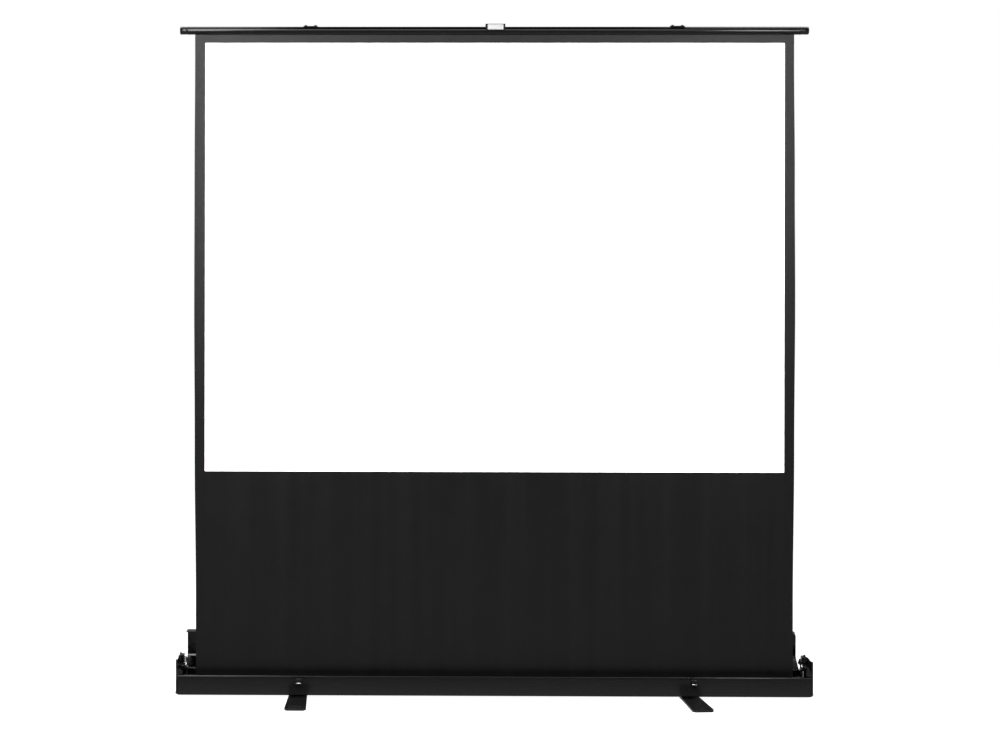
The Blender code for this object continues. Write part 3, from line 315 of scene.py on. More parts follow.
@dataclass(frozen=True)
class MouldedPlastic(Finish):
    """Injection moulded plastic with a spark eroded grain, rubbed and scratched in places."""

    grain: float = 0.00003
    grain_scale: float = 1500.0

    def make(self) -> Material:
        """Build the plastic's material."""
        tree = MaterialTree(self.name)
        rubs = tree.spread(tree.noise(26.0, 5.0, 0.65), 0.0, 1.0, 0.48, 0.72)
        scratches = tree.scuffs((160.0, 30.0, 500.0), 0.6)
        colour = tree.mixed(scratches, tree.mixed(rubs, self.colour, self.other), self.other)
        roughness = tree.spread(rubs, self.roughness * 1.12, self.roughness * 0.85, 0.0, 1.0)
        cells = tree.add("ShaderNodeTexVoronoi", {"Vector": tree.place, "Scale": self.grain_scale})
        fine = tree.bump(cells.outputs["Distance"], self.grain, 0.5)
        normal = tree.bump(tree.noise(60.0, 2.0), self.grain * 4, 0.25, fine)
        return tree.finish(colour, roughness, normal, Specular_IOR_Level=self.specular)


@dataclass(frozen=True)
class WorkedMetal(Finish):
    """Bare or plated metal, with the lines its rolling or drawing left."""

    metallic: float = 1.0
    lines_along: Point = (30.0, 2600.0, 2600.0)
    line_depth: float = 0.000008

    def make(self) -> Material:
        """Build the metal's material."""
        tree = MaterialTree(self.name)
        stain = tree.spread(tree.noise(70.0, 5.0, 0.65), 0.0, 1.0, 0.4, 0.75)
        lines = tree.noise(1.0, 3.0, 0.6, tree.stretched(self.lines_along))
        colour = tree.mixed(stain, self.colour, self.other)
        dulled = tree.spread(stain, self.roughness, self.roughness * 1.45, 0.0, 1.0)
        roughness = tree.product(dulled, tree.spread(lines, -0.05, 0.07), "ADD")
        normal = tree.bump(lines, self.line_depth, 0.6)
        return tree.finish(colour, roughness, normal, Metallic=self.metallic)


@dataclass(frozen=True)
class NaturalNylon(Finish):
    """Natural nylon, slightly see-through at its edges."""

    def make(self) -> Material:
        """Build the nylon's material."""
        tree = MaterialTree(self.name)
        cloud = tree.spread(tree.noise(90.0, 3.0), 0.0, 1.0)
        colour = tree.mixed(cloud, self.colour, self.other)
        roughness = tree.spread(
            tree.noise(300.0, 2.0), self.roughness - 0.07, self.roughness + 0.07)
        normal = tree.bump(tree.noise(700.0, 2.0), 0.00002, 0.4)
        return tree.finish(colour, roughness, normal, Subsurface_Weight=0.08,
                           Subsurface_Scale=0.002)


@dataclass(frozen=True)
class ScreenCloth(Finish):
    """Coated cloth: plain weave in relief, and a matt coat with faint upright bands."""

    thread: float = 0.0007
    relief: float = 0.00004

    def make(self) -> Material:
        """Build the cloth's material."""
        tree = MaterialTree(self.name)
        bands = tree.noise(1.0, 2.0, 0.5, tree.stretched((38.0, 1.0, 0.8)))
        mottle = tree.noise(14.0, 4.0, 0.6)
        tone = tree.product(bands, tree.product(mottle, 0.5), "ADD")
        colour = tree.mixed(tree.spread(tone, 0.0, 1.0, 0.55, 0.95), self.colour, self.other)
        roughness = tree.spread(tone, self.roughness * 0.94, self.roughness * 1.06, 0.55, 0.95)
        turns = 2.0 * math.pi / self.thread / 20.0
        threads = [tree.add("ShaderNodeTexWave", {
            "Vector": tree.place, "Scale": turns, "Distortion": 0.6, "Detail": 1.0,
            "Detail Scale": 2.0,
        }, bands_direction=direction).outputs["Fac"] for direction in ("X", "Z")]
        fine = tree.bump(tree.product(*threads, "MAXIMUM"), self.relief, 0.5)
        slack = tree.noise(6.0, 2.0, 0.5, tree.stretched((1.0, 1.0, 0.35)))
        normal = tree.bump(slack, 0.0006, 0.5, fine)
        return tree.finish(colour, roughness, normal, Specular_IOR_Level=self.specular)


@dataclass(frozen=True)
class PaleGround(Finish):
    """The pale floor under the screen, a white light table."""

    glow: float = 0.98

    def make(self) -> Material:
        """Build the floor's material."""
        tree = MaterialTree(self.name)
        cloud = tree.noise(1.5, 3.0)
        colour = tree.mixed(tree.spread(cloud, 0.0, 1.0), self.colour, self.other)
        roughness = tree.spread(cloud, self.roughness - 0.05, self.roughness + 0.05)
        normal = tree.bump(tree.noise(180.0, 2.0), 0.0001, 0.2)
        return tree.finish(colour, roughness, normal, Specular_IOR_Level=self.specular,
                           Emission_Strength=self.glow)


def grey(level: float, blue: float = 0.0) -> Colour:
    """A grey, or one with a little more blue."""
    return (level, level, level + blue)


FINISHES: dict[Slot, Finish] = {
    Slot.CASE_ENAMEL: Enamel(
        "gloss_enamel", grey(0.0005, 0.0001), grey(0.001, 0.0001), 0.155, 0.08),
    Slot.BLACK_PLASTIC: MouldedPlastic(
        "black_plastic", grey(0.001, 0.0001), grey(0.0026, 0.0002), 0.16, 0.11, 0.00001),
    Slot.FOOT_PLASTIC: MouldedPlastic(
        "foot_plastic", grey(0.003, 0.0004), grey(0.006, 0.0004), 0.42, 0.14),
    Slot.ARM_ENAMEL: Enamel("arm_enamel", grey(0.008, 0.0005), grey(0.014, 0.0005), 0.38, 0.3),
    Slot.BRIGHT_STEEL: WorkedMetal("zinc_plate", grey(0.62, 0.01), grey(0.40, 0.01), 0.26),
    Slot.DARK_STEEL: WorkedMetal(
        "black_zinc", grey(0.002, 0.0002), grey(0.004, 0.0002), 0.24, metallic=0.85),
    Slot.MILL_ALUMINIUM: WorkedMetal("drawn_aluminium", grey(0.66, 0.02), grey(0.48, 0.01), 0.34),
    Slot.NYLON: NaturalNylon("natural_nylon", (0.60, 0.57, 0.50), (0.50, 0.47, 0.40), 0.45),
    Slot.SILVER_PLATE: WorkedMetal(
        "satin_plate", grey(0.135, 0.003), grey(0.11, 0.002), 0.45, metallic=0.3),
    Slot.BLACK_FABRIC: ScreenCloth(
        "black_cloth", grey(0.0012, 0.0002), grey(0.0018, 0.0002), 0.34, 0.07),
    Slot.WHITE_FABRIC: ScreenCloth(
        "white_surface", grey(0.94), grey(0.96), 0.80, 0.2, 0.0005, 0.000012),
}
FLOOR = PaleGround("pale_floor", grey(0.32), grey(0.30), 0.90, 0.1)


@cache
def finish_of(slot: Slot) -> Material:
    """The material of a slot, made once."""
    return FINISHES[slot].make()


def lowest(node: str) -> Vector:
    """The lowest corner of a CAD node's box."""
    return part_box(node)[0]


def highest(node: str) -> Vector:
    """The highest corner of a CAD node's box."""
    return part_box(node)[1]


def middle_of(node: str) -> Vector:
    """The middle of a CAD node's box."""
    return (lowest(node) + highest(node)) / 2


def linked(name: str, data: bpy.types.ID) -> Object:
    """A new object in the scene."""
    made = bpy.data.objects.new(name, data)
    bpy.context.scene.collection.objects.link(made)
    return made


def dress(piece: Object, body: Body, slot: Slot, nodes: Sequence[str] = ()) -> Object:
    """Give a finished piece its body, its finish and the CAD nodes it stands for.

    Args:
        piece: The finished piece, with its place in its mesh.
        body: The body it rides on.
        slot: The slot its finish comes from.
        nodes: The CAD nodes it replaces.

    Returns:
        The piece.
    """
    piece.data.materials.clear()
    piece.data.materials.append(finish_of(slot))
    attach(piece, body.value)
    if nodes:
        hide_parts(*nodes)
    log.info("%s rides on %s, %d faces", piece.name, body.value, len(piece.data.polygons))
    return piece


def apply_modifiers(piece: Object) -> None:
    """Replace a piece's mesh by what its modifiers make of it, and take them off.

    Args:
        piece: The piece, with its modifiers.
    """
    depsgraph = bpy.context.evaluated_depsgraph_get()
    mesh = bpy.data.meshes.new_from_object(piece.evaluated_get(depsgraph))
    piece.modifiers.clear()
    mesh.name = piece.name
    piece.data = mesh


def arc(centre: Pair, radius: float, start: float, end: float, steps: int = 12) -> list[Pair]:
    """Points on a circle from one angle to another, both ends among them."""
    angles = [start + (end - start) * step / steps for step in range(steps + 1)]
    return [(centre[0] + radius * math.cos(a), centre[1] + radius * math.sin(a)) for a in angles]


def sharp(points: Sequence[Pair]) -> list[Point]:
    """Corners with a radius of 0."""
    return [(across, up, 0.0) for across, up in points]


def rounded(outline: Sequence[Point], steps: int = 5) -> list[Pair]:
    """Round the corners of an outline.

    Args:
        outline: Each corner's two coordinates and its radius, 0 for a sharp one.
        steps: How many stretches a round corner has.

    Returns:
        The points of the rounded outline.
    """
    points: list[Pair] = []
    for index, (across, up, radius) in enumerate(outline):
        corner = Vector((across, up))
        if radius == 0:
            points.append((across, up))
            continue
        back = Vector(outline[index - 1][:2]) - corner
        ahead = Vector(outline[(index + 1) % len(outline)][:2]) - corner
        half = back.angle(ahead) / 2
        reach = min(radius / math.tan(half), 0.49 * back.length, 0.49 * ahead.length)
        used = reach * math.tan(half)
        bisector = (back.normalized() + ahead.normalized()).normalized()
        centre = corner + bisector * used / math.sin(half)
        first = corner + back.normalized() * reach - centre
        last = corner + ahead.normalized() * reach - centre
        turn = math.atan2(first.cross(last), first.dot(last))
        start = math.atan2(first.y, first.x)
        points += arc((centre.x, centre.y), used, start, start + turn, steps)
    return points


def rectangle(low: Pair, high: Pair, radii: Pair, steps: int) -> list[Pair]:
    """A rectangle with round corners, between two opposite corners.

    Args:
        low: Its first corner.
        high: The corner opposite.
        radii: The radius at the two lower corners, and at the two upper ones.
        steps: How many stretches a round corner has.

    Returns:
        Its outline.
    """
    (left, bottom), (right, top), (lower, upper) = low, high, radii
    return rounded([(left, bottom, lower), (right, bottom, lower), (right, top, upper),
                    (left, top, upper)], steps)


class Draft:
    """A shape being made in mesh code, in world metres; each step returns the draft itself."""

    PLACES = {
        "X": lambda along, first, second: (along, first, second),
        "Y": lambda along, first, second: (first, along, second),
        "Z": lambda along, first, second: (first, second, along),
    }

    def __init__(self) -> None:
        """Start with an empty mesh."""
        self.mesh = bmesh.new()

    def prism(self, outline: Sequence[Pair], axis: str, low: float, high: float) -> "Draft":
        """Add a closed prism.

        Args:
            outline: Y Z pairs for axis X, X Z for Y, X Y for Z.
            axis: The axis it runs along.
            low: Where it starts.
            high: Where it ends.

        Returns:
            The draft itself.
        """
        near, far = ([self.mesh.verts.new(self.PLACES[axis](along, *pair)) for pair in outline]
                     for along in (low, high))
        for index in range(len(outline)):
            after = (index + 1) % len(outline)
            self.mesh.faces.new((near[index], near[after], far[after], far[index]))
        self.mesh.faces.new(near)
        self.mesh.faces.new(far)
        return self

    def turned(self, profile: Sequence[Pair], axis: str, centre: Pair = (0.0, 0.0),
               sides: int = 48) -> "Draft":
        """Add a closed turned shape.

        Args:
            profile: Pairs of radius and place along the axis; a ring where no radius is 0.
            axis: The axis it is turned about.
            centre: The axis's place.
            sides: How many sides it has.

        Returns:
            The draft itself.
        """
        rings: list[list[bmesh.types.BMVert]] = []
        for radius, along in profile:
            circle = [(centre[0] + radius * math.cos(math.tau * side / sides),
                       centre[1] + radius * math.sin(math.tau * side / sides))
                      for side in range(1 if radius == 0 else sides)]
            rings.append([self.mesh.verts.new(self.PLACES[axis](along, *pair)) for pair in circle])
        pairs = list(zip(rings, rings[1:]))
        if len(rings[0]) > 1:
            pairs.append((rings[-1], rings[0]))
        for ring, following in pairs:
            for side in range(sides):
                after = (side + 1) % sides
                corners = [ring[side % len(ring)], ring[after % len(ring)],
                           following[after % len(following)], following[side % len(following)]]
                self.mesh.faces.new(dict.fromkeys(corners))
        return self

    def rod(self, radius: float, low: float, high: float, axis: str, centre: Pair = (0.0, 0.0),
            sides: int = 48) -> "Draft":
        """Add a plain round rod between two places along an axis."""
        ends = [(0.0, low), (radius, low), (radius, high), (0.0, high)]
        return self.turned(ends, axis, centre, sides)

    def copy(self, node: str) -> "Draft":
        """Add a merged copy of a CAD node, with its flat faces whole.

        Args:
            node: The CAD node's name.

        Returns:
            The draft itself.
        """
        self.mesh.from_mesh(frame["nodes"][node].data)
        bmesh.ops.remove_doubles(self.mesh, verts=self.mesh.verts, dist=0.000005)
        bmesh.ops.dissolve_limit(self.mesh, angle_limit=math.radians(0.4),
                                 verts=self.mesh.verts, edges=self.mesh.edges)
        return self

    def placed(self, name: str) -> Object:
        """Turn the draft into an object in the scene, and use it up.

        Args:
            name: The object's name.

        Returns:
            The object.
        """
        bmesh.ops.recalc_face_normals(self.mesh, faces=self.mesh.faces)
        mesh = bpy.data.meshes.new(name)
        self.mesh.to_mesh(mesh)
        self.mesh.free()
        return linked(name, mesh)

    def combine(self, operation: str, *others: "Draft") -> "Draft":
        """Join other shapes to this one, take them out of it, or keep what they share.

        Args:
            operation: "UNION", "DIFFERENCE" or "INTERSECT".
            *others: The other drafts, which are used up.

        Returns:
            The draft itself.
        """
        shapes = [draft.placed("draft") for draft in (self, *others)]
        host, *tools = shapes
        for tool in tools:
            step = host.modifiers.new("combine", "BOOLEAN")
            step.operation, step.solver, step.object = operation, "EXACT", tool
        apply_modifiers(host)
        self.mesh = bmesh.new()
        self.mesh.from_mesh(host.data)
        for shape in shapes:
            bpy.data.objects.remove(shape)
        return self

    def moved(self, place: Matrix) -> "Draft":
        """Move and turn the whole draft by a matrix."""
        self.mesh.transform(place)
        return self

    def settle(self, name: str, body: Body, slot: Slot, nodes: Sequence[str] = (),
               edge: float = 0.0, steps: int = 2, smooth: float = 32.0) -> Object:
        """Finish the shape as a dressed piece.

        Args:
            name: The piece's name.
            body: The body it rides on.
            slot: The slot its finish comes from.
            nodes: The CAD nodes it replaces.
            edge: The rounding of its sharp edges, or 0 for none.
            steps: How many faces the rounding has across.
            smooth: The angle in degrees below which faces shade as one.

        Returns:
            The piece.
        """
        piece = self.placed(name)
        piece.data.shade_smooth()
        piece.data.set_sharp_from_angle(angle=math.radians(smooth))
        if edge:
            rounding = piece.modifiers.new("rounding", "BEVEL")
            rounding.width, rounding.segments = edge, steps
            rounding.limit_method, rounding.angle_limit = "ANGLE", math.radians(smooth)
            rounding.use_clamp_overlap = rounding.harden_normals = True
            rounding.miter_outer = "MITER_ARC"
            apply_modifiers(piece)
        return dress(piece, body, slot, nodes)


class GeometryTree(NodeTree):
    """A Geometry Nodes tree with named inputs, for what repeats or follows a path."""

    def __init__(self, name: str) -> None:
        """Start the tree with its geometry and material inputs.

        Args:
            name: The tree's name.
        """
        super().__init__(bpy.data.node_groups.new(name, "GeometryNodeTree"))
        self.keys: dict[str, str] = {}
        self.socket("Places", "Geometry")
        self.socket("Piece", "Geometry", "OUTPUT")
        self.start = self.add("NodeGroupInput")
        self.end = self.add("NodeGroupOutput")
        self.socket("Finish", "Material")

    def socket(self, name: str, kind: str, way: str = "INPUT") -> bpy.types.NodeTreeInterfaceSocket:
        """Add a named socket to the tree's face.

        Args:
            name: The socket's name.
            kind: What it carries.
            way: "INPUT" or "OUTPUT".

        Returns:
            The socket.
        """
        made = self.tree.interface.new_socket(name, in_out=way, socket_type=f"NodeSocket{kind}")
        self.keys[name] = made.identifier
        return made

    def size(self, name: str, value: float) -> NodeSocket:
        """Add a named size with its usual value."""
        self.socket(name, "Float").default_value = value
        return self.start.outputs[name]

    def vector(self, across: object, deep: object, high: object) -> NodeSocket:
        """Three numbers as a vector."""
        return self.add("ShaderNodeCombineXYZ", {0: across, 1: deep, 2: high}).outputs[0]

    def moved(self, shape: Node, up: object = 0.0, **more: object) -> NodeSocket:
        """A node's shape shifted along Z, with the Transform node's other inputs by name."""
        return self.add("GeometryNodeTransform", {
            "Geometry": shape.outputs[0], "Translation": self.vector(0.0, 0.0, up), **more,
        }).outputs[0]

    def combined(self, operation: str, inputs: dict) -> Node:
        """An exact boolean of the shapes that feed its numbered inputs."""
        return self.add("GeometryNodeMeshBoolean", inputs, operation=operation, solver="EXACT")

    def swept(self, path: Node, section: Node) -> Node:
        """A curve's section swept along another curve, with closed ends."""
        return self.add("GeometryNodeCurveToMesh", {
            "Curve": path.outputs["Curve"], "Profile Curve": section.outputs["Curve"],
            "Fill Caps": True})

    def close(self, shape: Node) -> "GeometryTree":
        """End the tree: a node's shape at each place, its Z turned the way the place faces.

        Args:
            shape: The node that makes the shape.

        Returns:
            The tree itself.
        """
        way = self.add("GeometryNodeInputNamedAttribute", {"Name": "facing"},
                       data_type="FLOAT_VECTOR")
        turn = self.add("FunctionNodeAlignRotationToVector", {"Vector": way.outputs["Attribute"]},
                        axis="Z")
        copies = self.add("GeometryNodeInstanceOnPoints", {
            "Points": self.start.outputs["Places"], "Instance": shape.outputs[0],
            "Rotation": turn.outputs["Rotation"]}).outputs[0]
        real = self.add("GeometryNodeRealizeInstances", {"Geometry": copies}).outputs[0]
        smooth = self.add("GeometryNodeSetShadeSmooth", {"Geometry": real}).outputs[0]
        finished = self.add("GeometryNodeSetMaterial", {
            "Geometry": smooth, "Material": self.start.outputs["Finish"]}).outputs[0]
        self.feed(self.end.inputs["Piece"], finished)
        return self

    def grow(self, name: str, places: Sequence[tuple[Point, Point]], body: Body, slot: Slot,
             nodes: Sequence[str], sizes: dict[str, float] | None = None,
             smooth: float = 32.0) -> Object:
        """Run the tree on a set of places, as one plain dressed mesh.

        Args:
            name: The piece's name.
            places: Each place, with the way its piece faces.
            body: The body it rides on.
            slot: The slot of its finish.
            nodes: The CAD nodes it replaces.
            sizes: The named inputs that differ from their usual values.
            smooth: The angle in degrees below which faces shade as one.

        Returns:
            The piece.
        """
        host = bpy.data.meshes.new(f"{name}_places")
        host.from_pydata([place for place, _ in places], [], [])
        facing = host.attributes.new("facing", "FLOAT_VECTOR", "POINT")
        for index, (_, way) in enumerate(places):
            facing.data[index].vector = way
        piece = linked(name, host)
        modifier = piece.modifiers.new(self.tree.name, "NODES")
        modifier.node_group = self.tree
        modifier[self.keys["Finish"]] = finish_of(slot)
        for key, value in (sizes or {}).items():
            modifier[self.keys[key]] = value
        apply_modifiers(piece)
        piece.data.set_sharp_from_angle(angle=math.radians(smooth))
        return dress(piece, body, slot, nodes)


@cache
def screw_tree() -> GeometryTree:
    """A pan head screw with a crossed recess, its head's underside at each place."""
    tree = GeometryTree("pan_head_screw")
    radius = tree.size("Head Radius", 0.0038)
    height = tree.size("Head Height", 0.0016)
    shank = tree.size("Shank Radius", 0.0020)
    length = tree.size("Shank Length", 0.0140)
    recess = tree.size("Recess Width", 0.0009)
    head = tree.add("GeometryNodeMeshCone", {
        "Vertices": 32, "Side Segments": 3, "Radius Bottom": radius, "Depth": height,
        "Radius Top": tree.product(radius, 0.62)})
    stem = tree.add("GeometryNodeMeshCylinder", {"Vertices": 20, "Radius": shank, "Depth": length})
    sunk = tree.moved(stem, tree.product(length, -0.48))
    cutters = []
    for turn in (0.0, QUARTER):
        bar = tree.add("GeometryNodeMeshCube", {
            "Size": tree.vector(tree.product(radius, 1.15), recess, height)})
        cutters.append(tree.moved(bar, height, Rotation=Euler((0, 0, turn))))
    cut = tree.combined("DIFFERENCE", {0: head.outputs["Mesh"], 1: cutters})
    return tree.close(tree.combined("UNION", {1: [cut.outputs["Mesh"], sunk]}))


@cache
def rivet_tree() -> GeometryTree:
    """A rivet with a domed head at each end, the first head's underside at each place."""
    tree = GeometryTree("dome_head_rivet")
    radius = tree.size("Head Radius", 0.0070)
    height = tree.size("Head Height", 0.0020)
    shank = tree.size("Shank Radius", 0.0040)
    grip = tree.size("Grip", 0.0126)
    ball = tree.add("GeometryNodeMeshUVSphere", {"Segments": 40, "Rings": 24, "Radius": 1.0})
    dome = tree.moved(ball, Scale=tree.vector(radius, radius, height))
    below = tree.moved(tree.add("GeometryNodeMeshCube", {"Size": (1.0, 1.0, 1.0)}), -0.5)
    head = tree.combined("DIFFERENCE", {0: dome, 1: below})
    rear = tree.moved(head, tree.product(grip, -1.0), Rotation=Euler((math.pi, 0, 0)))
    stem = tree.add("GeometryNodeMeshCylinder", {
        "Vertices": 32, "Radius": shank, "Depth": tree.product(grip, 1.04)})
    sunk = tree.moved(stem, tree.product(grip, -0.5))
    return tree.close(tree.combined("UNION", {1: [head.outputs["Mesh"], sunk, rear]}))


def coil_tree() -> GeometryTree:
    """A spring of round wire, its first curl at each place."""
    tree = GeometryTree("coil_spring")
    radius = tree.size("Coil Radius", 0.0076)
    spiral = tree.add("GeometryNodeCurveSpiral", {
        "Resolution": 28, "Rotations": tree.size("Curls", 16.0), "Start Radius": radius,
        "End Radius": radius, "Height": tree.size("Length", 0.12)})
    ring = tree.add("GeometryNodeCurvePrimitiveCircle", {
        "Resolution": 12, "Radius": tree.size("Wire Radius", 0.0009)})
    return tree.close(tree.swept(spiral, ring))


@dataclass
class FabricScreen:
    """The black cloth, the white surface on its front, and the cloth wound on the roller."""

    half_width: float = highest("screen_fabric").x
    low: float = lowest("screen_fabric").z
    high: float = highest("screen_fabric").z
    thickness: float = 0.0005
    belly: float = 0.0008
    curl: float = 0.0030
    curl_width: float = 0.070
    cloth_grid: tuple[int, int] = (168, 120)
    picture_grid: tuple[int, int] = (160, 90)
    folded_keep: float = 0.02003
    pull: tuple[Point, ...] = (
        (0.04, 0.0056, 0.0), (0.25, 0.0048, 0.0), (0.69, 0.0006, 0.0037), (1.10, -0.0014, 0.0059),
        (1.45, -0.0008, 0.0040), (1.80, 0.0006, 0.0011), (1.90, 0.0006, 0.0011))
    picture_pull: tuple[Point, ...] = ((0.04, 0.0031, 0.0011), (1.90, 0.0031, 0.0011))
    picture_drop: float = 0.0022
    wound_turns: float = 3.6
    wound_thickness: float = 0.0004
    wound_inside: float = 0.0003
    wound_outside: float = 0.0001

    @staticmethod
    def pulled(rows: Sequence[Point], z: float) -> Pair:
        """How far the left and right edges are pulled across at a height.

        Args:
            rows: Heights, with the left and right edge's shift at each.
            z: The height.

        Returns:
            The left and right edge's shift.
        """
        for (low, *before), (high, *after) in zip(rows, rows[1:]):
            if z <= high:
                share = 0.5 - 0.5 * math.cos(math.pi * max(0.0, (z - low) / (high - low)))
                return tuple(one + (other - one) * share for one, other in zip(before, after))
        return rows[-1][1:]

    def depth(self, x: float, z: float) -> float:
        """How far the hanging cloth stands behind its flat plane.

        Args:
            x: The place across.
            z: The height.

        Returns:
            The distance, positive to the rear.
        """
        held = math.sin(math.pi * (z - self.low) / (self.high - self.low))
        waves = math.sin(9.0 * x + 1.1) + 0.6 * math.sin(23.0 * x + 2.0 * z)
        edge = max(0.0, abs(x) - self.half_width + self.curl_width) / self.curl_width
        return held * (self.belly * waves * 0.5 + self.curl * edge * edge)

    def sheet(self, half: float, heights: Pair, depths: Pair, grid: tuple[int, int],
              pull: Sequence[Point]) -> Draft:
        """A thin closed sheet that follows the cloth.

        Args:
            half: Half its width.
            heights: Its lower and upper edge.
            depths: Where its front and rear face lie when flat.
            grid: How many columns and rows it has.
            pull: How far its side edges are pulled at each height.

        Returns:
            The sheet's draft.
        """
        draft = Draft()
        faces = draft.mesh.faces
        columns, rows = grid
        low, high = heights
        layers = []
        for depth in depths:
            layer = []
            for z in (low + (high - low) * row / rows for row in range(rows + 1)):
                left, right = self.pulled(pull, z)
                start, width = left - half, 2 * half + right - left
                places = (start + width * column / columns for column in range(columns + 1))
                layer.append([draft.mesh.verts.new((x, depth + self.depth(x, z), z))
                              for x in places])
            layers.append(layer)
        for layer in layers:
            for under, over in zip(layer, layer[1:]):
                for column in range(columns):
                    faces.new((under[column], under[column + 1], over[column + 1], over[column]))
        near, far = layers
        rim = [(0, column) for column in range(columns)] + [(row, columns) for row in range(rows)]
        rim += [(rows, column) for column in range(columns, 0, -1)]
        rim += [(row, 0) for row in range(rows, 0, -1)]
        for (row, column), (ahead, along) in zip(rim, rim[1:] + rim[:1]):
            faces.new((near[row][column], near[ahead][along], far[ahead][along], far[row][column]))
        return draft

    def fold(self, cloth: Object) -> None:
        """Give a sheet its own copy of its mesh."""
        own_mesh(cloth)

    def build_cloth(self) -> None:
        """The black cloth from the roller up into the top tube."""
        front = lowest("screen_fabric").y
        cloth = self.sheet(self.half_width, (self.low, self.high), (front, front + self.thickness),
                           self.cloth_grid, self.pull).settle(
            "screen_cloth", Body.CASE, Slot.BLACK_FABRIC, ["screen_fabric"], smooth=60.0)
        self.fold(cloth)

    def build_picture(self) -> None:
        """The white picture surface."""
        low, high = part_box("image_surface")
        top = high.z - self.picture_drop
        picture = self.sheet(high.x, (low.z, top), (low.y, high.y), self.picture_grid,
                             self.picture_pull).settle(
            "picture_surface", Body.CASE, Slot.WHITE_FABRIC, ["image_surface"], smooth=60.0)
        self.fold(picture)

    def build_winding(self) -> None:
        """The cloth wound on the roller, as one spiral strip."""
        centre = middle_of("fabric_winding")
        outer = highest("fabric_winding").z - centre.z - self.wound_outside
        inner = highest("roller_tube").z - centre.z + self.wound_inside
        tree = GeometryTree("wound_cloth")
        spiral = tree.add("GeometryNodeCurveSpiral", {
            "Resolution": 64, "Rotations": tree.size("Turns", self.wound_turns),
            "Start Radius": tree.size("Inner Radius", inner),
            "End Radius": tree.size("Outer Radius", outer), "Height": 0.0})
        section = tree.add("GeometryNodeCurvePrimitiveQuadrilateral", {
            "Width": tree.size("Thickness", self.wound_thickness),
            "Height": tree.size("Width", 2 * self.half_width)})
        winding = tree.close(tree.swept(spiral, section)).grow(
            "cloth_winding", [(tuple(centre), (1.0, 0.0, 0.0))], Body.ROLLER, Slot.BLACK_FABRIC,
            ["fabric_winding"])

    def build(self) -> None:
        """Build all of the fabric."""
        self.build_cloth()
        self.build_picture()
        self.build_winding()


@dataclass
class Softened:
    """CAD nodes whose shape is right, with their sharp edges rounded as a real piece's are."""

    body: Body
    slot: Slot
    nodes: tuple[str, ...]
    edge: float
    steps: int

    def build(self) -> None:
        """Build one rounded copy for each node."""
        for node in self.nodes:
            Draft().copy(node).settle(
                f"{node}_finished", self.body, self.slot, [node], edge=self.edge, steps=self.steps)


@dataclass
class Screws:
    """Screws on the case: four in the end caps, and two in the roller brackets."""

    head: float = 0.0016
    bracket_radius: float = 0.0040

    def grow(self, name: str, kinds: tuple[str, ...], outward: bool,
             sizes: dict[str, float]) -> None:
        """Grow the screws that replace some kinds of CAD node at both ends.

        Args:
            name: The piece's name.
            kinds: The nodes' names without their side.
            outward: Whether the heads face away from the middle.
            sizes: The tree's inputs.
        """
        nodes, places = [], []
        for side in Side:
            for node in (f"{kind}_{side.word}" for kind in kinds):
                ends, middle = [abs(end.x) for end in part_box(node)], middle_of(node)
                way = side.value if outward else -side.value
                tip = (max(ends) if outward else min(ends)) * side.value
                places.append(((tip - self.head * way, middle.y, middle.z), (way, 0.0, 0.0)))
                nodes.append(node)
        screw_tree().grow(name, places, Body.CASE, Slot.BRIGHT_STEEL, nodes, sizes)

    def build(self) -> None:
        """Grow the screws of the caps and of the brackets."""
        self.grow("end_cap_screws", ("cap_screw_front", "cap_screw_rear"), True, {})
        self.grow("bracket_screws", ("bracket_screw",), False, {"Head Radius": self.bracket_radius})


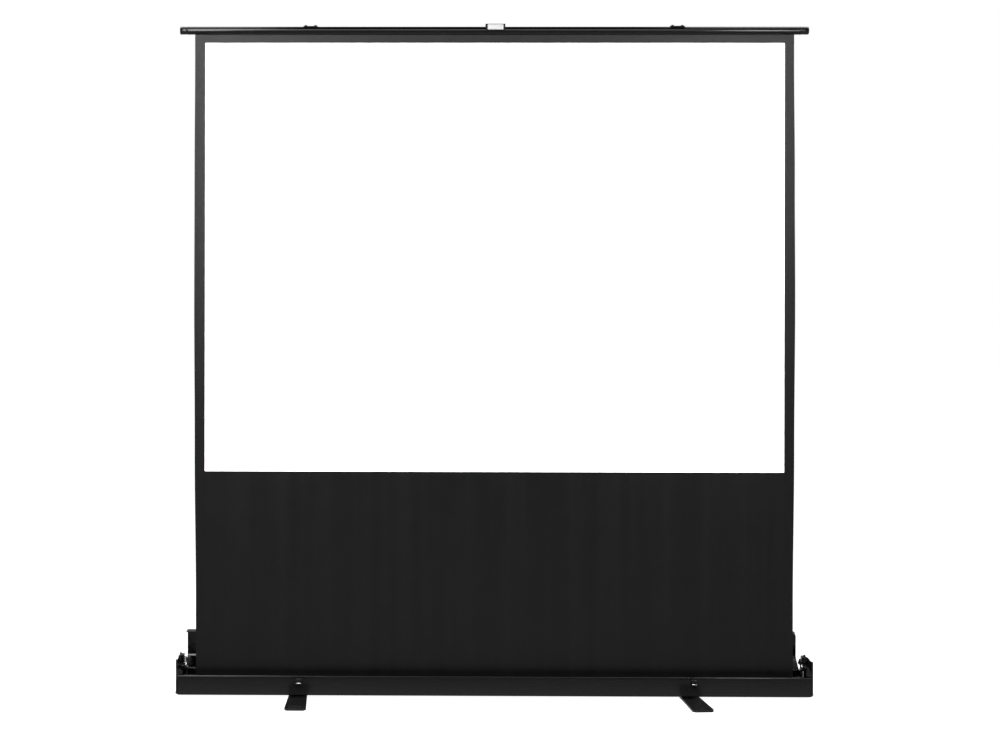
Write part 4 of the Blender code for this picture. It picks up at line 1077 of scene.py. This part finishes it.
@dataclass
class Studio:
    """The floor, the lights and the camera at the photograph's place."""

    place: Point = (-0.27920, -5.20000, 1.20969)
    focal_pixels: float = 1852.04
    frame_width: float = 1000.0
    sensor: float = 36.0
    shift: Pair = (0.12751, -0.11017)
    pan: float = 0.01159
    roll: float = 0.00147
    floor_size: float = 60.0
    room_light: float = 0.08
    backdrop_light: float = 0.35
    backdrop_top: float = 0.3
    soft_boxes: tuple[tuple[str, Point, Point, Pair, float], ...] = (
        ("soft_box_left", (-1.15, -2.5, 2.35), (-0.4, 0.0, 1.1), (0.45, 2.9), 200.0),
        ("soft_box_right", (1.25, -2.5, 1.70), (0.4, 0.0, 1.1), (0.25, 1.5), 78.0),
        ("soft_box_high", (0.05, -2.5, 2.75), (0.0, 0.0, 1.6), (1.9, 0.8), 105.0),
        ("overhead_left", (-1.15, 0.15, 3.2), (-0.85, 0.05, 0.0), (0.5, 0.9), 35.0),
        ("overhead_right", (1.15, 0.15, 3.2), (0.85, 0.05, 0.0), (0.5, 0.9), 35.0),
    )

    def build_camera(self) -> None:
        """Set the camera nearly square to the screen, as it was in the photograph."""
        lens = bpy.data.cameras.new("photo_camera")
        lens.lens = self.focal_pixels * self.sensor / self.frame_width
        lens.sensor_width = self.sensor
        lens.shift_x, lens.shift_y = self.shift
        lens.clip_end = self.floor_size
        camera = linked("photo_camera", lens)
        camera.matrix_world = (
            Matrix.Translation(Vector(self.place)) @ Matrix.Rotation(self.pan, 4, "Z")
            @ Matrix.Rotation(QUARTER, 4, "X") @ Matrix.Rotation(self.roll, 4, "Z"))
        bpy.context.scene.camera = camera

    def build_floor(self) -> None:
        """Lay the pale floor."""
        half = self.floor_size / 2
        data = bpy.data.meshes.new("pale_floor")
        corners = [(-half, -half, 0.0), (half, -half, 0.0), (half, half, 0.0), (-half, half, 0.0)]
        data.from_pydata(corners, [], [(0, 1, 2, 3)])
        data.materials.append(FLOOR.make())
        linked("pale_floor", data)

    def build_room(self) -> None:
        """Light the room: a bright backdrop behind and below, dim elsewhere, white where seen."""
        world = bpy.data.worlds.new("soft_room")
        world.use_nodes = True
        room = NodeTree(world.node_tree)
        place = room.add("ShaderNodeTexCoord").outputs["Generated"]
        way = room.add("ShaderNodeSeparateXYZ", {"Vector": place})
        behind = room.spread(way.outputs["Y"], 0.0, 1.0, -0.1, 0.3)
        below = room.spread(way.outputs["Z"], 0.0, 1.0, self.backdrop_top + 0.25, self.backdrop_top)
        lit = room.product(behind, below)
        level = room.spread(lit, self.room_light, self.backdrop_light, 0.0, 1.0)
        seen = room.add("ShaderNodeLightPath").outputs["Is Camera Ray"]
        backdrop = room.tree.nodes["Background"]
        room.feed(backdrop.inputs["Strength"], room.product(seen, level, "MAXIMUM"))
        room.feed(backdrop.inputs["Color"], (1.0, 1.0, 1.0, 1.0))
        bpy.context.scene.world = world

    def build_lights(self) -> None:
        """Hang the soft boxes, each given by name, place, aim, size and watts."""
        for name, place, aim, size, power in self.soft_boxes:
            lamp = bpy.data.lights.new(name, "AREA")
            lamp.shape, lamp.energy = "RECTANGLE", power
            lamp.size, lamp.size_y = size
            light = linked(name, lamp)
            light.location = place
            light.rotation_euler = (Vector(aim) - Vector(place)).to_track_quat("-Z", "Y").to_euler()

    def build(self) -> None:
        """Set up the whole studio."""
        bpy.context.scene.view_settings.view_transform = "Standard"
        self.build_camera()
        self.build_floor()
        self.build_room()
        self.build_lights()


@dataclass
class FlatArms:
    """The scissor's four flat bars, each with a pressed rib along its front."""

    reach: float = 0.524
    low: float = 0.026
    rise: float = 0.9145
    width: float = 0.022
    thickness: float = 0.005
    hole: float = 0.0045
    rib: Pair = (0.003, 0.0005)
    rib_end: float = 0.030
    layers: Pair = (0.014, 0.021)

    def build_arm(self, body: Body, foot: float, rises: int) -> None:
        """Build one bar between its two end pivots.

        Args:
            body: The body it rides on, which has the CAD node's name.
            foot: The height of its lower end.
            rises: 1 where it climbs to the right, in the front layer; -1 to the left, in the rear.
        """
        front = self.layers[0] if rises > 0 else self.layers[1]
        length = math.hypot(2 * self.reach, self.rise)
        half = self.width / 2
        outline = arc((length / 2, 0.0), half, -QUARTER, QUARTER, 20)
        outline += arc((-length / 2, 0.0), half, QUARTER, 3 * QUARTER, 20)
        bar = Draft().prism(outline, "Y", front, front + self.thickness)
        end = length / 2 - self.rib_end
        high, proud = self.rib
        bar.combine("UNION", *(
            Draft().prism(rectangle((start, -high), (stop, high), (high, high), 6), "Y",
                          front - proud, front + proud)
            for start, stop in ((-end, -self.rib_end), (self.rib_end, end))))
        bar.combine("DIFFERENCE", *(
            Draft().rod(self.hole, front - 0.01, front + 0.02, "Y", (along, 0.0))
            for along in (-length / 2, 0.0, length / 2)))
        angle = math.atan2(self.rise, 2 * self.reach) * -rises
        middle = Matrix.Translation((0.0, 0.0, foot + self.rise / 2))
        bar.moved(middle @ Matrix.Rotation(angle, 4, "Y"))
        bar.settle(f"{body.value}_bar", body, Slot.ARM_ENAMEL, [body.value], edge=0.0004)

    def build(self) -> None:
        """Build the four bars."""
        upper = self.low + self.rise
        for body, foot, rises in (
                (Body.LOWER_ARM_LEFT, self.low, 1), (Body.LOWER_ARM_RIGHT, self.low, -1),
                (Body.UPPER_ARM_LEFT, upper, -1), (Body.UPPER_ARM_RIGHT, upper, 1)):
            self.build_arm(body, foot, rises)


PIVOT_BODIES = {"lower_cross": Body.LOWER_ARM_LEFT, "right_elbow": Body.LOWER_ARM_LEFT,
                "left_elbow": Body.LOWER_ARM_RIGHT, "upper_cross": Body.UPPER_ARM_LEFT}


@dataclass
class Rivets:
    """The domed rivets of the scissor and the feet, given by head radius and grip."""

    scissor: Pair = (0.0070, 0.0126)
    foot: Pair = (0.0080, 0.0101)

    def build_one(self, node: str, body: Body, way: Point, sizes: Pair) -> None:
        """Grow one rivet in its CAD node's box.

        Args:
            node: The CAD node.
            body: The body it rides on.
            way: Which way its first head faces.
            sizes: Its head's radius, and the grip between its heads.
        """
        radius, grip = sizes
        first = middle_of(node) + Vector(way) * grip / 2
        rivet_tree().grow(f"{node}_set", [(tuple(first), way)], body, Slot.BRIGHT_STEEL, [node],
                          {"Head Radius": radius, "Grip": grip})

    def build(self) -> None:
        """Grow all six."""
        for name, body in PIVOT_BODIES.items():
            self.build_one(f"{name}_rivet", body, (0.0, -1.0, 0.0), self.scissor)
        for side in Side:
            body = Body(f"foot_{side.word}")
            self.build_one(f"foot_rivet_{side.word}", body, (0.0, 0.0, -1.0), self.foot)


@dataclass(frozen=True)
class TurnedPart:
    """A lathe turned or round moulded part, from its profile."""

    node: str
    body: Body
    slot: Slot
    axis: str
    centre: Pair
    profile: Sequence[Pair]
    edge: float = 0.0003

    def build(self) -> None:
        """Turn the part and round its edges."""
        Draft().turned(self.profile, self.axis, self.centre, 56).settle(
            f"{self.node}_turned", self.body, self.slot, [self.node], edge=self.edge, smooth=24.0)


def domed(radius: float, base: float, height: float, steps: int = 6) -> list[Pair]:
    """A head's profile, from its rim to its top on the axis.

    Args:
        radius: The head's radius.
        base: Where its rim ends, along the axis.
        height: How far its top stands above the rim, with its sign.
        steps: How many stretches the dome has.

    Returns:
        Pairs of radius and place along the axis, the last one on the axis.
    """
    turns = [QUARTER * step / steps for step in range(steps)]
    points = [(radius * math.cos(turn), base + height * math.sin(turn)) for turn in turns]
    return points + [(0.0, base + height)]


@dataclass
class TurnedParts:
    """Every turned part: the roller's, the top tube's, the washers and the pins."""

    roller: Pair = (-0.01805, 0.040)
    tube: Pair = (0.0, 1.867)
    bracket_face: float = 0.8573
    tips: Pair = (0.667, 0.829)
    pivot_x: float = 0.524
    pivot_z: Pair = (0.026, 1.855)

    def roller_parts(self) -> list[TurnedPart]:
        """The roller's tube, plugs and axles."""
        ends: list[Pair] = [(0.0138, -0.846), (0.0150, -0.846), (0.0150, -0.829), (0.0147, -0.8285),
                            (0.0147, -0.8275), (0.0150, -0.827)]
        tube = ends + [(radius, -along) for radius, along in reversed(ends)]
        parts = [TurnedPart("roller_tube", Body.ROLLER, Slot.MILL_ALUMINIUM, "X", self.roller,
                            tube)]
        plug = [(0.0135, 0.8260), (0.0135, 0.8463), (0.0180, 0.8463), (0.0180, 0.8493),
                (0.0163, 0.8493), (0.0157, 0.8487), (0.0072, 0.8487), (0.0066, 0.8493),
                (0.0043, 0.8493), (0.0043, 0.8260)]
        face = self.bracket_face
        for side, name, tip in zip(Side, ("spring_arbor_axle", "roller_axle"), self.tips):
            axle = [(0.0, tip), (0.0035, tip), (0.0040, tip + 0.0005), (0.0040, tip + 0.006),
                    (0.0034, tip + 0.006), (0.0034, tip + 0.0072), (0.0040, tip + 0.0072),
                    (0.0040, face), (0.0070, face)] + domed(0.0070, face + 0.0012, 0.0018)
            for node, body, slot, profile in (
                    (f"roller_plug_{side.word}", Body.ROLLER, Slot.BLACK_PLASTIC, plug),
                    (name, Body.CASE, Slot.BRIGHT_STEEL, axle)):
                sided = [(radius, side.value * along) for radius, along in profile]
                parts.append(TurnedPart(node, body, slot, "X", self.roller, sided))
        return parts

    def tube_parts(self) -> list[TurnedPart]:
        """The top tube's end plugs, with a collar and grip rings, and the spline in it."""
        plug = [(0.0, 0.8406), (0.0088, 0.8406), (0.0093, 0.8412), (0.0093, 0.8559),
                (0.0116, 0.8559), (0.0116, 0.8583), (0.0106, 0.8587)]
        for start in (0.8620, 0.8655, 0.8690):
            plug += [(0.0110, start), (0.0105, start + 0.0004), (0.0105, start + 0.0010),
                     (0.0110, start + 0.0014)]
        plug += [(0.0110, 0.8785), (0.0104, 0.8799), (0.0094, 0.8806), (0.0048, 0.8806),
                 (0.0040, 0.8798), (0.0, 0.8798)]
        cord = [(0.0, -0.8395), (0.0018, -0.8395), (0.0025, -0.8385), (0.0025, 0.8385),
                (0.0018, 0.8395), (0.0, 0.8395)]
        parts = [TurnedPart(
            f"tube_plug_{side.word}", Body.TOP_BAR, Slot.BLACK_PLASTIC, "X", self.tube,
            [(radius, side.value * along) for radius, along in plug], 0.0002) for side in Side]
        return parts + [TurnedPart("fabric_spline", Body.TOP_BAR, Slot.NYLON, "X",
                                   (0.0, middle_of("fabric_spline").z), cord, 0.0002)]

    def washers(self) -> list[TurnedPart]:
        """The nylon washers between the arms."""
        profile = ((0.0043, 0.0195), (0.0060, 0.0193), (0.0094, 0.0193), (0.0100, 0.0196),
                   (0.0100, 0.0204), (0.0094, 0.0207), (0.0060, 0.0207), (0.0043, 0.0205))
        parts = []
        for name, body in PIVOT_BODIES.items():
            middle = middle_of(f"{name}_washer")
            parts.append(TurnedPart(f"{name}_washer", body, Slot.NYLON, "Y", (middle.x, middle.z),
                                    profile, 0.0001))
        return parts

    def pins(self) -> list[TurnedPart]:
        """The shouldered pins at the scissor's four outer ends."""
        left, right = -self.pivot_x, self.pivot_x
        low, high = self.pivot_z
        foot = [(0.0, 0.0117)] + domed(0.0070, 0.0131, -0.0014)[-2::-1] + [
            (0.0070, 0.0137), (0.0040, 0.0137), (0.0040, 0.0193), (0.0065, 0.0193),
            (0.0065, 0.0283), (0.0040, 0.0283), (0.0040, 0.0314), (0.0065, 0.0314),
        ] + domed(0.0065, 0.0322, 0.0012)
        shoe = [(0.0, 0.0187)] + domed(0.0070, 0.0201, -0.0014)[-2::-1] + [
            (0.0070, 0.0207), (0.0040, 0.0207), (0.0040, 0.0368), (0.0035, 0.0373), (0.0, 0.0373)]
        tip = [(0.0, 0.0117), (0.0035, 0.0117), (0.0040, 0.0122)]
        fixed = tip + [(0.0040, 0.0263), (0.0070, 0.0263)] + domed(0.0070, 0.0269, 0.0014)
        sliding = tip + [(0.0040, 0.0193), (0.0070, 0.0193)] + domed(0.0070, 0.0199, 0.0014)
        return [TurnedPart(node, body, Slot.BRIGHT_STEEL, "Y", centre, profile, 0.0002)
                for node, body, centre, profile in (
                    ("lower_left_pin", Body.CASE, (left, low), foot),
                    ("lower_right_pin", Body.SHOE, (right, low), shoe),
                    ("upper_left_pin", Body.TOP_BAR, (left, high), fixed),
                    ("upper_right_pin", Body.SLIDING_CLIP, (right, high), sliding))]

    def build(self) -> None:
        """Build every turned part."""
        for part in self.roller_parts() + self.tube_parts() + self.washers() + self.pins():
            part.build()


@dataclass
class ReturnSpring:
    """The spring on its arbor inside the roller."""

    curls: float = 16.0
    pitch: float = 0.0075
    wire: float = 0.0009

    def build(self) -> None:
        """Wind the spring in the left end of the roller."""
        low, middle = lowest("roller_spring"), middle_of("roller_spring")
        sizes = {"Coil Radius": (highest("roller_spring").z - low.z) / 2 - self.wire,
                 "Curls": self.curls, "Length": self.curls * self.pitch, "Wire Radius": self.wire}
        places = [((low.x + self.wire, middle.y, middle.z), (1.0, 0.0, 0.0))]
        coil_tree().grow("return_spring", places, Body.ROLLER, Slot.BRIGHT_STEEL, ["roller_spring"],
                         sizes, smooth=60.0)


@dataclass
class TopTube:
    """The drawn top tube, with a slot under it for the fabric."""

    radius: float = 0.011
    wall: float = 0.0014
    half_slot: float = 0.0013

    def build(self) -> None:
        """Draw the tube along its length."""
        low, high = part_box("top_tube")
        centre = ((low.y + high.y) / 2, high.z - self.radius)
        inner = self.radius - self.wall
        outer_turn, inner_turn = (
            math.asin(self.half_slot / radius) for radius in (self.radius, inner))
        outline = arc(centre, self.radius, outer_turn - QUARTER,
                      math.tau - QUARTER - outer_turn, 96)
        outline += arc(centre, inner, math.tau - QUARTER - inner_turn, inner_turn - QUARTER, 72)
        Draft().prism(outline, "X", low.x, high.x).settle(
            "top_tube_drawn", Body.TOP_BAR, Slot.CASE_ENAMEL, ["top_tube"],
            edge=0.0003, smooth=40.0)


@dataclass
class CaseTrough:
    """The drawn trough: a rolled lip in front, screw ribs in its corners, a hinge bead behind."""

    wall: float = 0.002
    corner: float = 0.004
    rib: float = 0.010
    bend: float = 0.0015
    lip_depth: float = 0.010
    lip_round: float = 0.0046
    lip_height: float = 0.0072
    set_back: float = 0.0016
    hinge: Pair = (0.051, 0.064)
    bead: float = 0.0025
    screw_inset: float = 0.0058
    screw_depth: float = 0.014
    screw_hole: float = 0.0023
    foot_x: float = 0.546
    rivet_hole: float = 0.0043

    def section(self) -> list[Pair]:
        """The trough's section, as Y Z pairs."""
        front, rear = lowest("case_trough").y, self.hinge[0] + self.wall / 2
        bottom, top = lowest("case_trough").z, highest("case_trough").z
        floor, face, lip = bottom + self.wall, front + self.set_back, front + self.lip_depth
        inner, behind, under = face + self.wall, rear - self.wall, top - self.wall
        neck = math.asin(self.wall / 2 / self.bead)
        bead = arc(self.hinge, self.bead, neck - QUARTER, 3 * QUARTER - neck, 24)
        return rounded([
            (face, bottom, self.corner), (rear, bottom, self.corner), *sharp(bead),
            (behind, floor + self.rib, self.bend), (behind - self.rib, floor, self.bend),
            (inner + self.rib, floor, self.bend), (inner, floor + self.rib, self.bend),
            (inner, under, self.bend), (lip, under, 0.0006), (lip, top, 0.0009),
            (front, top, self.lip_round), (front, top - self.lip_height, 0.0014),
            (face, top - self.lip_height - 0.0008, 0.0006),
        ], 8)

    def build(self) -> None:
        """Draw the trough, and drill it for the cap screws and the foot rivets."""
        half = highest("case_trough").x
        trough = Draft().prism(self.section(), "X", -half, half)
        depth = highest("end_cap_left").y - self.screw_inset
        height = lowest("case_trough").z + self.screw_inset
        drills = []
        for side in (-1, 1):
            ends = side * (half - self.screw_depth), side * (half + 0.005)
            drills += [Draft().rod(self.screw_hole, *ends, "X", (y, height), 20)
                       for y in (-depth, depth)]
            place = (side * self.foot_x, 0.0)
            drills.append(Draft().rod(self.rivet_hole, 0.005, 0.02, "Z", place, 32))
        trough.combine("DIFFERENCE", *drills)
        trough.settle("case_trough_drawn", Body.CASE, Slot.CASE_ENAMEL, ["case_trough"],
                      edge=0.0003, smooth=40.0)


@dataclass
class Lid:
    """The folded lid: hook, slanted back, top and skirt, with its right corner cut."""

    hinge: Pair = (0.051, 0.064)
    hook_inner: float = 0.0029
    hook_outer: float = 0.0045
    wall: float = 0.0015
    rise: float = 0.0445
    slant_run: float = 0.027
    skirt: float = 0.040
    reach: float = 0.103
    bend: float = 0.003
    knee: float = 0.014
    corner_cut: Pair = (0.0068, 0.0130)
    flange_cut: Pair = (0.013, 0.007)
    past: float = 0.004

    def section(self) -> list[Pair]:
        """The closed lid's section about its hinge, as Y Z pairs."""
        hook, low = math.radians(30), math.radians(240)
        slant = math.atan2(self.rise, -self.slant_run)
        spread = math.asin(self.wall / 2 / self.hook_outer)
        shift = self.wall * math.tan((math.pi - slant) / 2)
        edge, bottom, under = self.wall - self.reach, self.rise - self.skirt, self.rise - self.wall
        return rounded([
            *sharp(arc((0.0, 0.0), self.hook_outer, hook, slant - spread, 10)),
            (-self.slant_run, self.rise, self.knee), (-self.reach, self.rise, self.bend),
            (-self.reach, bottom, 0.0004), (edge, bottom, 0.0004),
            (edge, under, self.bend - self.wall),
            (-self.slant_run - shift, under, self.knee - self.wall),
            *sharp(arc((0.0, 0.0), self.hook_outer, slant + spread, low, 12)),
            *sharp(arc((0.0, 0.0), self.hook_inner, low, hook, 24)),
        ], 6)

    def build(self) -> None:
        """Fold the lid, stand it open on its hinge, and cut its right corner."""
        low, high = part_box("lid_panel")
        panel = Draft().prism(self.section(), "X", low.x, high.x)
        panel.moved(Matrix.Translation((0.0, *self.hinge)) @ Matrix.Rotation(-QUARTER, 4, "X"))
        wide, tall = self.corner_cut
        across, deep = self.flange_cut
        end = high.x + self.past
        corner = [(high.x - wide, high.z + 0.0001), (end, high.z + 0.0001), (end, high.z - tall),
                  (high.x, high.z - tall)]
        flange = [(high.x - across, low.y + deep), (end, low.y + deep), (end, high.y - self.wall),
                  (high.x, high.y - self.wall)]
        panel.combine("DIFFERENCE", Draft().prism(corner, "Y", low.y, high.y + self.past),
                      Draft().prism(flange, "Z", high.z - self.wall * 2, high.z + self.past))
        panel.settle("lid_folded", Body.LID, Slot.CASE_ENAMEL, ["lid_panel"],
                     edge=0.0003, smooth=40.0)


@dataclass
class Feet:
    """The two moulded feet: a bow tie plate with a boss, grooves above and ribs beneath."""

    length: float = 0.364
    tip: float = 0.030
    waist: float = 0.025
    plate: float = 0.006
    corner: float = 0.012
    boss: Pair = (0.017, 0.0107)
    head: Pair = (0.0083, 0.0035)
    hole: float = 0.0043
    place: float = 0.546
    turn_right: float = math.radians(4.7)
    rib: Pair = (0.0016, 0.0040)
    pockets: tuple[Pair, ...] = ((0.024, 0.072), (0.075, 0.122), (0.125, 0.170))
    pocket_width: Pair = (0.0205, 0.0255)
    groove_x: float = 0.019
    grooves: tuple[Pair, ...] = ((0.150, 0.1525), (0.156, 0.1585), (0.162, 0.1645))
    groove_depth: float = 0.0006

    def outline(self) -> list[Pair]:
        """The plate's outline."""
        half, tip, corner = self.length / 2, self.tip, self.corner
        return rounded([(tip, half, corner), (-tip, half, corner), (-self.waist, 0.0, 0.0),
                        (-tip, -half, corner), (tip, -half, corner), (self.waist, 0.0, 0.0)], 10)

    def pocket(self, ends: Pair, side: int, way: int) -> Draft:
        """One pocket under the plate.

        Args:
            ends: Where it starts and ends along the foot.
            side: 1 right of the middle rib, -1 left of it.
            way: 1 in the rear half, -1 in the front one.

        Returns:
            The pocket's draft.
        """
        thick, deep = self.rib
        narrow, wide = self.pocket_width
        outer = [narrow + (wide - narrow) * y / self.pockets[-1][1] for y in ends]
        (near, far), radius = ends, 0.001
        shape = [(side * thick / 2, way * near, radius), (side * outer[0], way * near, radius),
                 (side * outer[1], way * far, radius), (side * thick / 2, way * far, radius)]
        return Draft().prism(rounded(shape, 3), "Z", -0.001, deep)

    def groove(self, ends: Pair, way: int) -> Draft:
        """One grip groove across the plate's top."""
        near, far = ends
        shape = rectangle((-self.groove_x, way * near), (self.groove_x, way * far),
                          (self.groove_depth, self.groove_depth), 3)
        return Draft().prism(shape, "Z", self.plate - self.groove_depth, self.plate + 0.01)

    def build_foot(self, side: Side) -> None:
        """Mould one foot.

        Args:
            side: Which end it stands under.
        """
        foot = Draft().prism(self.outline(), "Z", 0.0, self.plate)
        (radius, top), start = self.boss, self.plate / 2
        boss = [(0.0, start), (radius, start), (radius, top - 0.001), (radius - 0.001, top),
                (0.0, top)]
        foot.combine("UNION", Draft().turned(boss, "Z"))
        wide, deep = self.head
        hole = Draft().turned([(0.0, -0.01), (wide, -0.01), (wide, deep), (self.hole, deep),
                               (self.hole, 0.02), (0.0, 0.02)], "Z")
        foot.combine("DIFFERENCE",
                     *(self.pocket(ends, across, way) for way in (-1, 1) for ends in self.pockets
                       for across in (-1, 1)),
                     *(self.groove(ends, way) for way in (-1, 1) for ends in self.grooves), hole)
        turn = Matrix.Rotation(self.turn_right if side is Side.RIGHT else 0.0, 4, "Z")
        foot.moved(Matrix.Translation((side.value * self.place, 0.0, 0.0)) @ turn)
        node = f"foot_{side.word}"
        foot.settle(f"{node}_moulded", Body(node), Slot.FOOT_PLASTIC, [node],
                    edge=0.0009, steps=3, smooth=40.0)

    def build(self) -> None:
        """Mould both feet."""
        for side in Side:
            self.build_foot(side)


@dataclass
class Handles:
    """The top handle's face plate, and the carry handle behind the lid."""

    plate_corner: float = 0.0022
    plate_border: float = 0.0020
    grip_width: float = 0.130
    leg: float = 0.018
    grip: float = 0.008

    def build_plate(self) -> None:
        """The bright plate in the top handle, with round corners and a pressed border."""
        low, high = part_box("handle_plate")
        corner, border = self.plate_corner, self.plate_border
        outline = rectangle((low.x, low.z), (high.x, high.z), (corner, corner), 6)
        tray = rectangle((low.x + border, low.z + border), (high.x - border, high.z - border),
                         (corner / 2, corner / 2), 5)
        plate = Draft().prism(outline, "Y", low.y, high.y)
        plate.combine("DIFFERENCE", Draft().prism(tray, "Y", low.y - 0.002, low.y + 0.0003))
        plate.settle("handle_face_plate", Body.TOP_BAR, Slot.SILVER_PLATE, ["handle_plate"],
                     edge=0.0002)

    def build_carry(self) -> None:
        """The carry handle, an arched loop with a rounded grip."""
        low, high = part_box("carry_handle")
        half, base, top = self.grip_width / 2, low.y, high.y
        inner = top - self.grip
        reach = half - self.leg - self.grip / 2
        shape = [(half - self.leg, base, 0.002), (half, base, 0.001),
                 (half - self.leg / 2, top, 0.009), (self.leg / 2 - half, top, 0.009),
                 (-half, base, 0.001), (self.leg - half, base, 0.002),
                 (-reach, inner, 0.004), (reach, inner, 0.004)]
        Draft().prism(rounded(shape, 8), "Z", low.z, high.z).settle(
            "carry_handle_moulded", Body.LID, Slot.BLACK_PLASTIC, ["carry_handle"],
            edge=0.0028, steps=4, smooth=50.0)

    def build(self) -> None:
        """Build the plate and the carry handle."""
        self.build_plate()
        self.build_carry()


@dataclass
class Latches:
    """The two draw latches' levers, with a rolled barrel, a curled finger lip and a bright wire."""

    thickness: float = 0.0018
    barrel: float = 0.0021
    pin: float = 0.0013
    ear: float = 0.0030
    window_low: float = 0.0058
    window: Pair = (0.0034, 0.0030)
    bail: float = 0.0009
    bail_height: float = 0.0050

    def build_lever(self, side: Side) -> None:
        """Bend one lever about its pin, and hang its wire.

        Args:
            side: Which latch it belongs to.
        """
        node, body = f"latch_lever_{side.word}", Body(f"latch_{side.word}")
        low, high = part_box(node)
        wide_low, wide_high, middle = low.x + self.ear, high.x - self.ear, (low.x + high.x) / 2
        centre = (high.y - self.barrel - 0.0009, high.z - self.barrel)
        front = centre[0] - self.barrel
        outline = arc(centre, self.barrel, -QUARTER / 2, math.pi, 14) + [(front, low.z + 0.0040)]
        outline += arc((front - 0.0013, low.z + 0.0024), 0.0013, 0.2, -math.pi * 0.62, 6)
        outline += arc((front - 0.0003, low.z + 0.0014), 0.0012, -math.pi * 0.75, 0.0, 6)
        rear = front + self.thickness
        outline += [(rear, low.z + 0.0030), (rear, centre[1] - self.barrel)]
        lever = Draft().prism(outline, "X", wide_low, wide_high)
        half, tall = self.window
        bottom = low.z + self.window_low
        window = rectangle((middle - half, bottom), (middle + half, bottom + tall),
                           (0.001, 0.001), 4)
        lever.combine("DIFFERENCE", Draft().prism(window, "Y", low.y - 0.01, high.y + 0.01))
        lever.combine("UNION", Draft().rod(self.pin, low.x, high.x, "X", centre, 24))
        lever.settle(f"{node}_bent", body, Slot.DARK_STEEL, [node], edge=0.0002, smooth=40.0)
        reach = (wide_high - wide_low) / 2 - 0.0012
        wire = [(radius, middle + along) for radius, along in (
            (0.0, -reach - 0.0006), (0.0006, -reach - 0.0004), (self.bail, -reach),
            (self.bail, reach), (0.0006, reach + 0.0004), (0.0, reach + 0.0006))]
        bail = Draft().turned(wire, "X", (front - 0.0002, low.z + self.bail_height), 28)
        bail.settle(f"latch_bail_{side.word}", body, Slot.BRIGHT_STEEL, smooth=50.0)

    def build(self) -> None:
        """Bend both levers."""
        for side in Side:
            self.build_lever(side)


@dataclass
class EndCaps:
    """The moulded end caps: rounded outer rim, sunk panel, and a ring round each screw."""

    rim: float = 0.0042
    rim_steps: int = 6
    corners: Pair = (0.010, 0.004)
    block: float = 0.05
    panel_inset: float = 0.010
    panel_rise: float = 0.004
    panel_corners: Pair = (0.005, 0.003)
    panel_depth: float = 0.0006
    screw_inset: float = 0.0058
    ring: Pair = (0.0056, 0.0046)
    ring_depth: float = 0.0004

    def envelope(self, low: Vector, high: Vector) -> Draft:
        """A block with the right cap's side outline, whose outer rim is rounded.

        Args:
            low: The cap's lowest corner.
            high: Its highest corner.

        Returns:
            The block's draft.
        """
        outline = rectangle((low.y, low.z), (high.y, high.z), self.corners, 8)
        draft = Draft().prism(outline, "X", high.x - self.block, high.x)
        rim = [edge for edge in draft.mesh.edges
               if all(abs(vert.co.x - high.x) < 1e-6 for vert in edge.verts)]
        bmesh.ops.bevel(draft.mesh, geom=rim, offset=self.rim, segments=self.rim_steps,
                        affect="EDGES", profile=0.5, clamp_overlap=True)
        return draft

    def build_cap(self, side: Side) -> None:
        """Mould one cap, the left one as the right one's mirror image.

        Args:
            side: Which end it closes.
        """
        low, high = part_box("end_cap_right")
        outer, inset = high.x, self.panel_inset
        cap = Draft().copy("end_cap_right").combine("INTERSECT", self.envelope(low, high))
        panel = rectangle((low.y + inset, low.z + inset + self.panel_rise),
                          (high.y - inset, high.z - inset), self.panel_corners, 6)
        cuts = [Draft().prism(panel, "X", outer - self.panel_depth, outer + 0.01)]
        big, small = self.ring
        start, end = outer - self.ring_depth, outer + 0.002
        for y in (low.y + self.screw_inset, high.y - self.screw_inset):
            ring = [(small, start), (big, start), (big, end), (small, end)]
            cuts.append(Draft().turned(ring, "X", (y, low.z + self.screw_inset), 40))
        cap.combine("DIFFERENCE", *cuts)
        cap.moved(Matrix.Scale(side.value, 4, Vector((1.0, 0.0, 0.0))))
        node = f"end_cap_{side.word}"
        cap.settle(f"{node}_moulded", Body.CASE, Slot.BLACK_PLASTIC, [node],
                   edge=0.0004, smooth=36.0)

    def build(self) -> None:
        """Mould both caps."""
        for side in Side:
            self.build_cap(side)


SOFTENED = (
    Softened(Body.CASE, Slot.DARK_STEEL,
             ("roller_bracket_left", "roller_bracket_right", "pivot_bracket", "slide_rail",
              "latch_base_left", "latch_base_right"), 0.0003, 2),
    Softened(Body.SHOE, Slot.NYLON, ("slide_shoe",), 0.0008, 3),
    Softened(Body.TOP_BAR, Slot.BLACK_PLASTIC, ("fixed_clip", "handle_saddle"), 0.0005, 3),
    Softened(Body.SLIDING_CLIP, Slot.BLACK_PLASTIC, ("sliding_clip",), 0.0005, 3),
    Softened(Body.LID, Slot.BRIGHT_STEEL, ("lid_catch_left", "lid_catch_right"), 0.0004, 2),
)


def main() -> None:
    """Dress the CAD nodes, and build the sub-assemblies in order and the studio."""
    logging.basicConfig(level=logging.INFO, format="%(name)s: %(message)s")
    for row in frame["record"]["subparts"]:
        materials = frame["nodes"][row["node"]].data.materials
        materials.clear()
        materials.append(finish_of(Slot(row["material_slot"])))
    for assembly in (CaseTrough(), EndCaps(), Lid(), Feet(), Handles(), Latches(), FabricScreen(),
                     TopTube(), TurnedParts(), FlatArms(), Rivets(), ReturnSpring(), Screws(),
                     *SOFTENED, Studio()):
        assembly.build()


if __name__ == "__main__":
    main()
